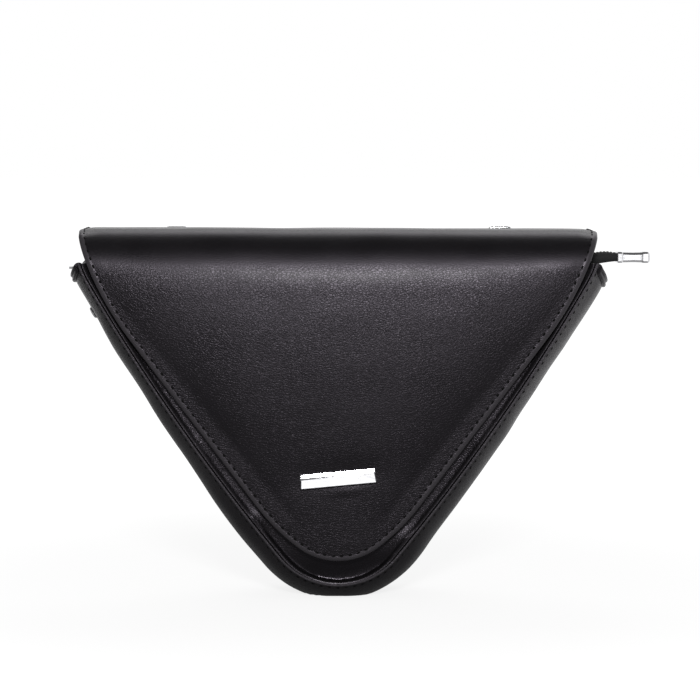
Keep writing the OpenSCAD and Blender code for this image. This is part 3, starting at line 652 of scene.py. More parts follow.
def handling_group():
    """Faint handling marks: fine scratches and smudges that change the gloss."""
    g, get, put = new_group("Handling marks", "ShaderNodeTree",
                            (("Vector", "Vector"), ("Clean", "Float", 0.12), ("Worn", "Float", 0.24)),
                            (("Roughness", "Float"), ("Height", "Float")))
    if put is None:
        return g
    stretch = node(g, "ShaderNodeMapping", (-700, 0), {
        "Scale": (300, 2600, 2600), "Rotation": (0.2, 0.5, 0.3), "Vector": get["Vector"]})
    lines = texture(g, stretch.outputs[0], 1.0, 3, (-400, 100)).outputs["Fac"]
    smudge = texture(g, get["Vector"], 130, at=(-400, -200)).outputs["Fac"]
    mix = maths(g, "MULTIPLY", ranged(g, lines, 0.35, 0.75, 0.0, 1.0), smudge, clamp=True)
    rough = node(g, "ShaderNodeMapRange", (600, 0),
                 {"Value": mix, "To Min": get["Clean"], "To Max": get["Worn"]})
    feed(g, put, {"Roughness": rough.outputs[0], "Height": lines})
    return g


# Materials


def new_material(name):
    """An empty material with its shader and Object coordinates, or the finished one without them."""
    if name in bpy.data.materials:
        return bpy.data.materials[name], None, None, None
    m = bpy.data.materials.new(name)
    m.use_nodes = True
    tree = m.node_tree
    tree.nodes.clear()
    shader = node(tree, "ShaderNodeBsdfPrincipled", (400, 0))
    node(tree, "ShaderNodeOutputMaterial", (700, 0), {"Surface": shader.outputs[0]})
    return m, tree, shader, node(tree, "ShaderNodeTexCoord", (-900, 0)).outputs["Object"]


def placed(tree, group, inputs):
    return node(tree, "ShaderNodeGroup", (-500, 0), inputs, node_tree=group).outputs


def bumped(tree, shader, height, strength, distance):
    bump = node(tree, "ShaderNodeBump", (150, -300),
                {"Strength": strength, "Distance": distance, "Height": height})
    feed(tree, shader, {"Normal": bump.outputs[0]})


def attribute_of(tree, name):
    """A number stored on the piece, or 0 where the piece has none."""
    return node(tree, "ShaderNodeAttribute", (-700, -400), attribute_name=name).outputs["Fac"]


def tinted(tree, shader, factor, colour):
    """The base colour times a factor that changes over the surface."""
    made = node(tree, "ShaderNodeVectorMath", (150, 200), {0: colour, "Scale": factor}, operation="SCALE")
    feed(tree, shader, {"Base Color": made.outputs[0]})


def scaled(colour, factor):
    return [min(1, c * factor) for c in colour]


def coloured(tree, shader, factor, first, second):
    mix = node(tree, "ShaderNodeMix", (150, 200), data_type="RGBA")
    feed(tree, mix, {0: factor, 6: (*first, 1), 7: (*second, 1)})
    feed(tree, shader, {"Base Color": mix.outputs[2]})


def leather_material():
    """Black leather with a fine pebbled grain under a satin finish. Its base colour holds painted light:
    lighter along rolled edges and lips as a painted highlight, darker in creases, seams and hollows as
    painted shade.
    """
    m, tree, shader, where = new_material("Smooth black leather")
    if tree is None:
        return m
    look = bpy.context.scene.bag_leather
    grain = placed(tree, grain_group(),
                   {"Vector": where, "Pebbles per metre": 1 / look.grain_size, "Crease": 0.55})
    band, groove = attribute_of(tree, "band"), attribute_of(tree, "groove")
    mottled = ranged(tree, grain["Mottle"], 0.2, 0.8, 0.8, 1.25)
    # Painted highlight: the base colour is up to ten times lighter along the flap's rolled edge and the lips
    # of the walls and gusset; the mottle is the leather's own uneven tone.
    lighter = maths(tree, "ADD", maths(tree, "MULTIPLY", band, 9.0), mottled)
    # Painted shade: the base colour is up to 85 % darker in the flap's stitch channel, the wall's seam line
    # and the hollow under the flap's tip.
    unshaded = maths(tree, "SUBTRACT", 1.0, maths(tree, "MULTIPLY", groove, 0.85))
    tinted(tree, shader, maths(tree, "MULTIPLY", lighter, unshaded), look.colour)
    rough = ranged(tree, grain["Mottle"], 0.3, 0.7, look.roughness - 0.02, look.roughness + 0.03)
    dull = maths(tree, "SUBTRACT", rough, maths(tree, "MULTIPLY", groove, 0.10))
    creased = maths(tree, "ADD", dull, maths(tree, "MULTIPLY", grain["Creases"], 0.10), clamp=True)
    feed(tree, shader, {"Roughness": creased, "Specular IOR Level": 0.36,
                        "Specular Tint": (0.95, 0.86, 1.0, 1), "Coat Weight": 0.06, "Coat Roughness": 0.22})
    kept = maths(tree, "SUBTRACT", 1.0, maths(tree, "MULTIPLY", attribute_of(tree, "drawn"), 0.8))
    bumped(tree, shader, maths(tree, "MULTIPLY", grain["Height"], kept), look.grain_depth, 0.00012)
    return m


def cloth_material(name, colour, threads, sheen):
    """Woven cloth with raised threads."""
    m, tree, shader, where = new_material(name)
    if tree is None:
        return m
    weave = placed(tree, weave_group(), {"Vector": where, "Threads per metre": threads})
    coloured(tree, shader, weave["Warp"], scaled(colour, 0.75), scaled(colour, 1.2))
    feed(tree, shader, {"Roughness": ranged(tree, weave["Height"], 0.0, 1.0, 0.92, 0.72),
                        "Sheen Weight": sheen, "Sheen Roughness": 0.5})
    bumped(tree, shader, weave["Height"], 0.6, 0.00015)
    return m


def lining_material():
    return cloth_material("Woven lining", bpy.context.scene.bag_cloth.lining, 2200.0, 0.2)


def tape_material():
    return cloth_material("Zip tape cloth", bpy.context.scene.bag_cloth.tape, 1500.0, 0.1)


def thread_material(name="Waxed thread", tone=1.0, rough=0.72):
    """Waxed thread with its plies; tone scales its colour, and the gusset's rows use it for a painted sheen.
    """
    m, tree, shader, where = new_material(name)
    if tree is None:
        return m
    plies = texture(tree, where, 4200, at=(-500, 0)).outputs["Fac"]
    colour = [c * tone for c in bpy.context.scene.bag_stitch.colour]
    coloured(tree, shader, plies, scaled(colour, 0.6), scaled(colour, 1.6))
    feed(tree, shader, {"Roughness": ranged(tree, plies, 0.2, 0.8, rough, rough + 0.13),
                        "Specular IOR Level": 0.12})
    bumped(tree, shader, plies, 0.4, 0.0001)
    return m


def metal_material(name="Nickel plate", polish=0.0):
    """Plated metal with faint handling marks."""
    m, tree, shader, where = new_material(name)
    if tree is None:
        return m
    look = bpy.context.scene.bag_metal
    clean = max(0.03, look.roughness - polish)
    marks = placed(tree, handling_group(), {"Vector": where, "Clean": clean, "Worn": clean + 0.12})
    coloured(tree, shader, marks["Height"], scaled(look.colour, 0.94), scaled(look.colour, 1.03))
    feed(tree, shader, {"Roughness": marks["Roughness"], "Metallic": 1.0})
    bumped(tree, shader, marks["Height"], 0.04, 0.00005)
    return m


def polished_material():
    return metal_material("Polished nickel", 0.04)


def board_material():
    """Dark pulp board with flecks."""
    m, tree, shader, where = new_material("Pulp board")
    if tree is None:
        return m
    flecks = texture(tree, where, 900, 5, (-500, 0)).outputs["Fac"]
    colour = bpy.context.scene.bag_cloth.board
    coloured(tree, shader, flecks, scaled(colour, 0.7), scaled(colour, 1.2))
    feed(tree, shader, {"Roughness": ranged(tree, flecks, 0.2, 0.8, 0.8, 0.95)})
    bumped(tree, shader, flecks, 0.3, 0.0002)
    return m


def moulded_material():
    """Black moulded resin of the zip's tail."""
    m, tree, shader, where = new_material("Black moulded resin")
    if tree is None:
        return m
    marks = placed(tree, handling_group(), {"Vector": where, "Clean": 0.34, "Worn": 0.5})
    coloured(tree, shader, marks["Height"], (0.010, 0.010, 0.011), (0.018, 0.018, 0.019))
    feed(tree, shader, {"Roughness": marks["Roughness"]})
    bumped(tree, shader, marks["Height"], 0.1, 0.00005)
    return m


# Repeats by Geometry Nodes


def repeat_tree():
    """Copies of a unit at even steps along a line, with the unit's Z along the line's "up"."""
    g, get, put = new_group(
        "Repeat along a line", "GeometryNodeTree",
        (("Geometry", "Geometry"), ("Unit", "Object"), ("Pitch", "Float", 0.0044),
         ("Unevenness", "Float", 0.02), ("Seed", "Int", 3), ("Finish", "Material")),
        (("Geometry", "Geometry"),))
    if put is None:
        return g
    line = node(g, "GeometryNodeMeshToCurve", (-800, 0), {"Mesh": get["Geometry"]})
    steps = node(g, "GeometryNodeResampleCurve", (-600, 0), mode="LENGTH")
    feed(g, steps, {"Curve": line.outputs["Curve"], "Length": get["Pitch"]})
    unit = node(g, "GeometryNodeObjectInfo", (-600, -300), {"Object": get["Unit"]})
    up = node(g, "GeometryNodeInputNamedAttribute", (-600, 300), {"Name": "up"}, data_type="FLOAT_VECTOR")
    along = node(g, "GeometryNodeInputTangent", (-600, 200))
    first = node(g, "FunctionNodeAlignRotationToVector", (-300, 200), {"Vector": along.outputs[0]}, axis="X")
    second = node(g, "FunctionNodeAlignRotationToVector", (-100, 200),
                  {"Rotation": first.outputs[0], "Vector": up.outputs["Attribute"]}, axis="Z", pivot_axis="X")
    low = node(g, "ShaderNodeMath", (-300, -200), {0: get["Unevenness"], 1: -1}, operation="MULTIPLY")
    loose = node(g, "FunctionNodeRandomValue", (-100, -200), data_type="FLOAT_VECTOR")
    feed(g, loose, {"Min": low.outputs[0], "Max": get["Unevenness"], "Seed": get["Seed"]})
    turn = node(g, "FunctionNodeEulerToRotation", (50, -100), {0: loose.outputs["Value"]})
    tilt = node(g, "FunctionNodeRotateRotation", (100, 100), rotation_space="LOCAL")
    feed(g, tilt, {"Rotation": second.outputs[0], "Rotate By": turn.outputs[0]})
    copies = node(g, "GeometryNodeInstanceOnPoints", (400, 0), {
        "Points": steps.outputs["Curve"], "Instance": unit.outputs["Geometry"], "Rotation": tilt.outputs[0]})
    real = node(g, "GeometryNodeRealizeInstances", (650, 0), {0: copies.outputs[0]})
    finish = node(g, "GeometryNodeSetMaterial", (900, 0),
                  {"Geometry": real.outputs[0], "Material": get["Finish"]})
    feed(g, put, {0: finish.outputs[0]})
    return g


def repeated(name, lines, unit, pitch, material, uneven=0.02):
    """A piece of copies of a unit along lines of (point, up) in millimetres."""
    points, ups, links = [], [], []
    for line in lines:
        first = len(points)
        points += [tuple(c * MM for c in p) for p, _ in line]
        ups += [tuple(u) for _, u in line]
        links += [(first + i, first + i + 1) for i in range(len(line) - 1)]
    mesh = bpy.data.meshes.new(name)
    mesh.from_pydata(points, links, [])
    attribute = mesh.attributes.new("up", "FLOAT_VECTOR", "POINT")
    attribute.data.foreach_set("vector", [c for u in ups for c in u])
    obj = bpy.data.objects.new(name, mesh)
    bpy.context.scene.collection.objects.link(obj)
    tree = repeat_tree()
    modifier = obj.modifiers.new("Repeat", "NODES")
    modifier.node_group = tree
    ids = {i.name: i.identifier for i in tree.interface.items_tree if i.in_out == "INPUT"}
    modifier[ids["Unit"]] = unit
    modifier[ids["Pitch"]] = pitch * MM
    modifier[ids["Unevenness"]] = uneven
    modifier[ids["Finish"]] = material
    return baked(obj, material, 50)


def stitch_rows(name, rows, length, pitch, radius, thread=None):
    """A piece of stitches along rows: short arched threads whose ends dive into the leather."""
    rings = []
    for t in (-1.0, -0.82, -0.4, 0.0, 0.4, 0.82, 1.0):
        x = t * length / 2
        lift = 0.16 - 0.6 * abs(t) ** 3
        r = radius * (1.0 - 0.45 * abs(t) ** 4)
        rings.append([(x, r * 1.1 * math.cos(a), lift + r * 0.8 * math.sin(a)) for a in full_turn(7)])
    unit = sweep_mesh("stitch unit", rings, thread_material())
    stitches = repeated(name, rows, unit, pitch, thread or thread_material())
    bpy.data.objects.remove(unit)
    return stitches


# Pieces


def flap_edge():
    """The flap's edge on its front, from the join on the top round the tip and back, in the flat."""
    right = walked((0, FLAP_TIP_Z), FLAP_BENDS + ((None, STRAIGHT_L), WING), 2.6)
    line = [(x, front_length(min(z, FOLD_Z))) for x, z, _ in right]
    line += [(FLAP_TOP_HALF, s) for s in np.arange(FLAT_END - 3, JOIN_S + 1, -3)]
    line.append((FLAP_TOP_HALF, JOIN_S))
    return both_halves(line)


def narrowed(x, s):
    """The flap's top is a little narrower than its frame; flap_place turns its corners down."""
    in_front = smooth(s, BACK_FOLD[1] + 4, JOIN_S) * (1 - smooth(s, FLAT_END, SHOULDER_END + 6))
    return x * (1 - 0.003 * in_front)


# Height of the flap's padding by the height on its front
CREST = ((186, 0.0), (180, 0.0), (176, -0.03), (172, -0.07), (168, -0.02), (164, 0.18), (160, 0.53),
         (150, 1.41), (140, 2.02), (130, 2.39), (120, 2.55), (110, 2.53), (100, 2.36), (90, 2.02),
         (80, 1.55), (70, 1.0), (60, 0.55), (50, 0.28), (40, 0.12), (20, 0.0), (0, 0.0))


BAR_Z = 64.4
BAR_TURN = math.radians(5.3)


def on_bar(x, z):
    """A point of the flap's front measured along and across the bar plate from its middle."""
    up = z - BAR_Z
    return (x * math.cos(BAR_TURN) + up * math.sin(BAR_TURN),
            up * math.cos(BAR_TURN) - x * math.sin(BAR_TURN))


def crest(x, s):
    """Soft padding of the flap's front: fullest below the crown, pulled in at the bar and the sides."""
    if s < FLAT_END:
        return 0.0
    z = face_at(s)[1]
    along, across = on_bar(x, z)
    seat = math.exp(-(along / 24) ** 4 - (across / 8) ** 2)
    wide = max(20.0, min(134.0, (z - 14) * 0.80))
    side = min(1.0, abs(x) / wide) ** 4
    full = eased(CREST, z) * (1 - 0.7 * side) * (1 - seat)
    return full - 1.5 * min(1.0, wide / 60) * side * (1 - smooth(z, 165, 181))


def flap_place(x, s):
    """Where a point of the flat flap lies, with its outward direction."""
    y, z, ny, nz = face_at(s)
    y += ny * crest(x, s)
    side = abs(x) / FLAP_TOP_HALF
    on_top = smooth(s, FOLD_END - 4, FOLD_END + 6) * (1 - smooth(s, FLAT_END, SHOULDER_END))
    droop = 0.5 * smooth(side, 0.93, 1.0) ** 2 * on_top
    lift = (0.9 - 0.5 * x / FLAP_TOP_HALF) * on_top
    return Vector((narrowed(x, s), y, z + (lift - droop) * abs(nz))), Vector((0, ny, nz))


def flap_inside(x, s):
    """Where the flap's lining lies: on the board, which stays flat under the padded leather."""
    p, n = flap_place(x, s)
    return p - Vector((0, n.y * max(0.0, crest(x, s)), 0)), n


# Reliefs are (distance from the edge, height of the face), and insets are the pattern's rings
FLAP_RELIEF = ((0.0, -1.1), (0.3, -0.6), (0.8, -0.22), (1.5, 0.0), (2.1, 0.06), (2.5, 0.04), (2.9, 0.0),
               (3.3, 0.0), (4.0, 0.04), (8.0, 0.2), (14.0, 0.25))
EDGE_INSETS = (0.0, 0.3, 0.8, 1.5, 2.1, 2.5, 2.9, 3.3, 4.0, 5.4, 6.9, 7.4)
# Painted highlight on the flap's rolled edge: lighter base colour.
FLAP_MARKS = {"band": ((0.0, 0.6), (0.5, 1.0), (2.4, 1.0), (2.9, 0.0)),
              # Painted shade in the stitch channel: darker base colour.
              "groove": ((2.5, 0.0), (2.8, 0.35), (3.0, 0.35), (3.5, 0.0))}
HEM_T = 2.35
LEATHER_T = 1.2
FLAP_ROW = 2.9


def leather_wave(p):
    """Slow and quick unevenness of the leather at a point."""
    return wave(p.x, p.y, p.z, 46, 3.1) + 0.35 * wave(p.x, p.y, p.z, 17, 8.7)


def flap_relief(x, s, d):
    """Face of the flap: rolled edge, sunken stitch row and soft unevenness."""
    p, _ = flap_place(x, s)
    calm = smooth(d, 3, 12)
    look = bpy.context.scene.bag_leather.waviness / MM
    under_bar = 0.0
    if s > SHOULDER_END:
        along, across = on_bar(x, p.z)
        under_bar = 0.5 * math.exp(-((across + 6.6) / 1.7) ** 2 - ((along - 4) / 10) ** 2)
    near_row = 1 - smooth(abs(d - FLAP_ROW), 0.6, 2.4)
    pucker = 0.005 * math.sin(2 * math.pi * (s + 0.6 * abs(x)) / 4.4) * near_row
    return through(FLAP_RELIEF, d) + look * leather_wave(p) * calm + pucker + under_bar


def flap_back(x, s, d):
    """Back of the flap's leather: the turned hem is two layers thick."""
    if d < 0.2:
        return -HEM_T + 0.55
    return -HEM_T if d < 7.0 else -LEATHER_T


def on_face(place, row, height):
    """A flat row laid on a leather's face, as points and outward directions."""
    spots = [(*place(x, s), height(x, s)) for x, s in row]
    return [(p + n * h, n) for p, n, h in spots]


def join_line():
    """Line across the flap's top where its front leather meets the back one."""
    return [(x, JOIN_S) for x in np.arange(-FLAP_TOP_HALF, FLAP_TOP_HALF + 1, 2.6)]


def blend_at_fold(piece):
    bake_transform(piece)


def blend_at_crown(piece):
    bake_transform(piece)


class BAG_OT_flap_front(bpy.types.Operator):
    """Front of the flap with its rolled edge and stitch row"""

    bl_idname = "bag.flap_front"
    bl_label = "Flap front"

    def execute(self, context):
        edge, closing = flap_edge(), join_line()
        pattern = cut_pattern(edge, closing, EDGE_INSETS, 2.0)
        flap = slab_mesh("flap_front_leather", pattern, flap_place, flap_relief, flap_back,
                         leather_material(), marks=FLAP_MARKS)
        paint(flap, "drawn", [smooth(v.co.z / MM, 170, 177) for v in flap.data.vertices])
        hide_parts("flap_leather")
        look = context.scene.bag_stitch
        inset = look.inset / MM
        row = on_face(flap_place, offset_line(edge, inset), lambda x, s: flap_relief(x, s, inset) - 0.2)
        stitches = stitch_rows("flap_front_stitches", [row], look.length / MM, look.pitch / MM, 0.5)
        for piece in (flap, stitches):
            blend_at_crown(piece)
        return {"FINISHED"}


def back_edge():
    """Edge of the back wall and the flap's top, in the flat, from join to join round the foot."""
    line = seam_half(lambda z: 1.25, 3.0, MOUTH_Z - 0.5)
    line += [(FLAP_TOP_HALF - 2.3 + 2.3 * smooth(s, MOUTH_Z, MOUTH_Z + 3), s)
             for s in np.arange(MOUTH_Z, JOIN_S - 1, 1.5)]
    line.append((FLAP_TOP_HALF, JOIN_S))
    return both_halves(line)


BACK_RELIEF = ((0.0, 2.3), (0.4, 2.5), (1.1, 2.45), (1.6, 1.7), (2.3, 0.1), (3.2, 0.15), (5, 0.7), (9, 1.1),
               (16, 1.25))


def back_relief(x, s, d):
    """Face of the back wall with its proud lip below the mouth, and of the flap's top above it."""
    p, _ = flap_place(x, s)
    look = bpy.context.scene.bag_leather.waviness / MM
    uneven = look * smooth(d, 3, 12) * leather_wave(p)
    below = 1 - smooth(s, MOUTH_Z - 2, MOUTH_Z + 5)
    return through(FLAP_RELIEF, d) * (1 - below) + through(BACK_RELIEF, d) * below + uneven


def back_back(x, s, d):
    return -LEATHER_T if s < MOUTH_Z else flap_back(x, s, d)


class BAG_OT_back_and_top(bpy.types.Operator):
    """Back wall and top of the flap, which are one cut of leather"""

    bl_idname = "bag.back_and_top"
    bl_label = "Back wall and flap top"

    def execute(self, context):
        edge, closing = back_edge(), join_line()
        pattern = cut_pattern(edge, closing, EDGE_INSETS, 3.2)
        back = slab_mesh("back_and_top_leather", pattern, flap_place, back_relief, back_back,
                         leather_material(), marks=FLAP_MARKS)
        paint(back, "drawn", [smooth(v.co.z / MM, 184, 191) for v in back.data.vertices])
        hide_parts("back_panel", "flap_top_leather")
        look = context.scene.bag_stitch
        rows = [on_face(flap_place, [(side * (FLAP_TOP_HALF - FLAP_ROW), s)
                                     for s in np.arange(MOUTH_Z + 8, JOIN_S + 0.1, 1.5)],
                        lambda x, s: back_relief(x, s, FLAP_ROW)) for side in (-1, 1)]
        stitches = stitch_rows("flap_top_stitches", rows, look.length / MM, look.pitch / MM, 0.5)
        for piece in (back, stitches):
            blend_at_fold(piece)
        return {"FINISHED"}


SNAP_Z = 44.0
FRONT_RELIEF = ((0.0, 1.6), (0.25, 2.4), (0.45, 2.45), (0.7, 2.38), (1.1, 2.1), (1.8, 1.3), (2.8, 0.75),
                (4.2, 0.5), (6.0, 0.45), (9.0, 0.5), (13.0, 0.55), (18.0, 0.6))
FRONT_SUNK = ((0.0, 1.6), (0.25, 2.4), (0.45, 2.44), (0.7, 2.38), (1.1, 2.24), (1.8, 0.9), (2.6, -0.15),
              (3.2, -0.3), (4.0, -0.3), (5.4, -0.3), (9.0, 0.0), (13.0, 0.3), (18.0, 0.4))
FRONT_INSETS = (0.0, 0.25, 0.45, 0.7, 1.1, 1.8, 2.6, 3.2, 4.0, 5.4, 7.0, 9.0)
# Painted shade on the front wall: darker base colour along the seam line and in the hollow under the flap's
# tip; drawn smooths the grain low in that hollow.
FRONT_MARKS = {"groove": lambda x, z, d: max(through(((0.0, 1.0), (0.2, 0.0)), d), 0.9 * hollow(x, z, d)),
               # Painted highlight along the wall's lip: lighter base colour.
               "band": ((0.2, 0.0), (0.4, 0.6), (0.9, 0.3), (1.6, 0.0)),
               "drawn": lambda x, z, d: hollow(x, z, d) if z < 40 else 0.0}


def front_edge():
    line = seam_half(lambda z: 1.55 - 0.9 * (1 - smooth(z, 4, 26)), 2.4, MOUTH_Z - 0.6)
    line.append((line[-1][0] + 0.3, MOUTH_Z))
    return both_halves(line)


def front_place(x, z):
    return Vector((x, -WALL_Y, z)), Vector((0, -1, 0))


def kink(x, z):
    """1 at the small fold in the seam left of the foot's middle, fading round it."""
    return math.exp(-((x + 15.0) ** 2 + (z - 10.5) ** 2) / (2 * 3.5 ** 2))


# Small swells of the front wall: x, z, radius, height
PUFFS = ((-43.5, 39.5, 4.0, 1.9), (36.0, 26.8, 6.0, 3.0), (-70.0, 82.0, 6.0, 0.5), (78.0, 86.0, 7.0, 0.5))


def hollow(x, z, d):
    """Mask of the deep fold between the wall's lip and the flap's tip, which little light reaches; the front
    wall's colour gets painted shade there, and a smoother grain low down.
    """
    low = 1 - smooth(z + 0.12 * abs(x - 2.0), 21, 34)
    high = 0.85 * smooth(z, 52, 74)
    return smooth(d, 1.4, 3.2) * low + smooth(d, 2.0, 4.5) * high


def front_relief(x, z, d):
    """Face of the front wall: proud lip, sunken channel and padded swell, flat round the snap."""
    look = bpy.context.scene.bag_leather
    low = 1 - smooth(z + 0.10 * x, 20, 42)
    full = through(FRONT_RELIEF, d) * (1 - low) + through(FRONT_SUNK, d) * low
    if d > 2.3:
        full *= 1 - 0.5 * smooth(z, MOUTH_Z - 24, MOUTH_Z - 4) * smooth(d, 2.3, 6)
        full += look.pillow / MM * 0.35 * smooth(d, 16, 40) * smooth(math.hypot(x, z - SNAP_Z), 9.5, 26)
        full += 0.25 * smooth(d, 2.3, 6) * wave(x, 0, z, 22, 5.5)
    gather = 0.10 * math.sin(1.9 * (x * 0.8 + z)) * math.exp(-d / 4) if d > 1.2 else 0.0
    puffs = sum(size * math.exp(-((x - cx) ** 2 + (z - cz) ** 2) / (2 * wide ** 2))
                for cx, cz, wide, size in PUFFS)
    return full + gather + puffs * smooth(d, 0.6, 2.0) - 0.5 * kink(x, z)


class BAG_OT_front_wall(bpy.types.Operator):
    """Padded front wall inside its proud seam"""

    bl_idname = "bag.front_wall"
    bl_label = "Front wall"

    def execute(self, context):
        edge = front_edge()
        top = [(x, MOUTH_Z) for x in np.arange(-132, 133, 2.4)]
        pattern = cut_pattern(edge, top, FRONT_INSETS, 2.5)
        wall = slab_mesh("front_wall_leather", pattern, front_place, front_relief,
                         lambda x, z, d: -LEATHER_T, leather_material(), marks=FRONT_MARKS)
        dress(wall, "leather", "bag", "front_panel")
        return {"FINISHED"}


def gusset_out(side, s, y):
    """How far the gusset's face stands out from the seam path."""
    edge = abs(y)
    if edge > SKIN_HALF:
        return through(((SKIN_HALF, 0.0), (25.2, -0.1), (26.2, 0.05), (27.1, 0.05), (27.5, -0.35)), edge)
    near_seam = math.exp(-(SKIN_HALF - edge) / 5.0)
    gather = 0.16 * math.sin(2 * math.pi * s / 6.3 + side + 1.3 * wave(s, y, 0, 30)) * near_seam
    soft = 0.8 * wave(side * s, y * 0.8, 11.0, 38, 1.7) + 0.3 * wave(side * s, y, 4.0, 15, 6.1)
    inside = smooth(SKIN_HALF - edge, 0, 8)
    sag = 1.6 * math.exp(-((s - 62) / 26) ** 2) if side < 0 else 0.5 * math.exp(-((s - 40) / 20) ** 2)
    sag += 2.2 * smooth(s, SEAM_LEN - 50, SEAM_LEN - 4) * swell(y, SKIN_HALF) if side > 0 else 0.0
    return bulge_at(s) * swell(y, SKIN_HALF) + gather + (soft + sag) * inside * smooth(s, 10, 40)


def gusset_rows():
    """Sides and lengths along the seam from the left end under the foot to the right end."""
    right = list(np.linspace(0, SEAM_LEN, 92))
    return [(-1, s) for s in right[:0:-1]] + [(1, s) for s in right]


class BAG_OT_gusset(bpy.types.Operator):
    """Gusset of the sides and foot, with the seam's outer lip and its stitch rows"""

    bl_idname = "bag.gusset"
    bl_label = "Gusset"

    def execute(self, context):
        lip = [-27.5, -27.1, -26.2, -25.2, -24.8]
        across = lip + [SKIN_HALF * math.sin(math.pi / 2 * t) for t in np.linspace(-0.985, 0.985, 31)] + [
            -y for y in reversed(lip)]
        rings = []
        for side, s in gusset_rows():
            face = [gusset_point(side, s, y, gusset_out(side, s, y), 0.02 * abs(y) / 25) for y in across]
            inner = [gusset_point(side, s, y, gusset_out(side, s, y) - (0.75 if abs(y) > 27.2 else LEATHER_T),
                                  LEATHER_T) for y in reversed(across)]
            rings.append(face + inner)
        gusset = sweep_mesh("gusset_leather", rings, leather_material())
        # Painted highlight along the gusset's lip: lighter base colour towards its edge.
        lip_painted_sheen = ((25.6, 0.0), (26.4, 0.45), (27.5, 1.0))
        paint(gusset, "band", [through(lip_painted_sheen, abs(v.co.y) / MM) for v in gusset.data.vertices])
        dress(gusset, "leather", "bag", "gusset")
        look = context.scene.bag_stitch
        lines = []
        for y in (-22.9, 22.9):
            line = []
            for side, s in gusset_rows():
                if s > SEAM_LEN - 4:
                    continue
                p = gusset_point(side, s, y, gusset_out(side, s, y), 0.1)
                q = gusset_point(side, s, y, gusset_out(side, s, y) + 1, -2)
                up = (q - p).normalized() + Vector((0, 0.35 * (1 if y > 0 else -1), 0))
                line.append((p, up.normalized()))
            lines.append(line)
        # The gusset's thread is the black thread with its colour nine times lighter: a painted sheen.
        stitches = stitch_rows("gusset_stitches", lines, look.length / MM, look.pitch / MM, 0.2,
                               thread_material("Gusset thread", 9.0, 0.4))
        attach(stitches, "bag")
        return {"FINISHED"}


class BAG_OT_bindings(bpy.types.Operator):
    """Rolled hems over the gusset's two top edges"""

    bl_idname = "bag.bindings"
    bl_label = "Gusset hems"

    def execute(self, context):
        low, top = SEAM_LEN - 3.0, SEAM_LEN + 1.6
        mid, reach = (1.45 - 2.95) / 2, (1.45 + 2.95) / 2
        for name, side in (("left_binding", -1), ("right_binding", 1)):
            rings = []
            for y in np.linspace(-22.25, 22.25, 41):
                def at(s, off):
                    base = gusset_out(side, min(s, SEAM_LEN), y)
                    return gusset_point(side, s, y, base + off, 0)

                puff = 0.15 * wave(y, side * 9, 2, 7)
                ring = [at(low, 0.15), at(low + 0.1, 0.8), at(low + 0.6, 1.4 + puff),
                        at(low + 1.3, 1.5 + puff), at(low + 2.0, 1.1 + puff), at(low + 2.3, 0.75),
                        at(low + 2.6, 1.1), at(top - 1.2, 1.45 + puff)]
                ring += [at(top - 1.2 + 1.4 * math.sin(a), mid + reach * math.cos(a))
                         for a in (math.pi * i / 10 for i in range(1, 10))]
                ring += [at(top - 1.2, -2.95), at(low + 2.5, -2.95), at(low, -2.9), at(low, -2.05),
                         at(SEAM_LEN + 0.2, -2.05), at(SEAM_LEN + 0.2, 0.15)]
                rings.append(ring)
            hem = sweep_mesh(name + "_leather", rings, leather_material(), sharp=60)
            dress(hem, "leather", "bag", name)
        return {"FINISHED"}


def inset_seam(inset, top):
    """The whole seam path moved in by an inset and carried straight on up to a height."""
    line = seam_half(lambda z: inset, 3.0, top - 0.6)
    slope = (line[-1][0] - line[-2][0]) / (line[-1][1] - line[-2][1])
    line.append((line[-1][0] + slope * (top - line[-1][1]), top))
    return both_halves(line)


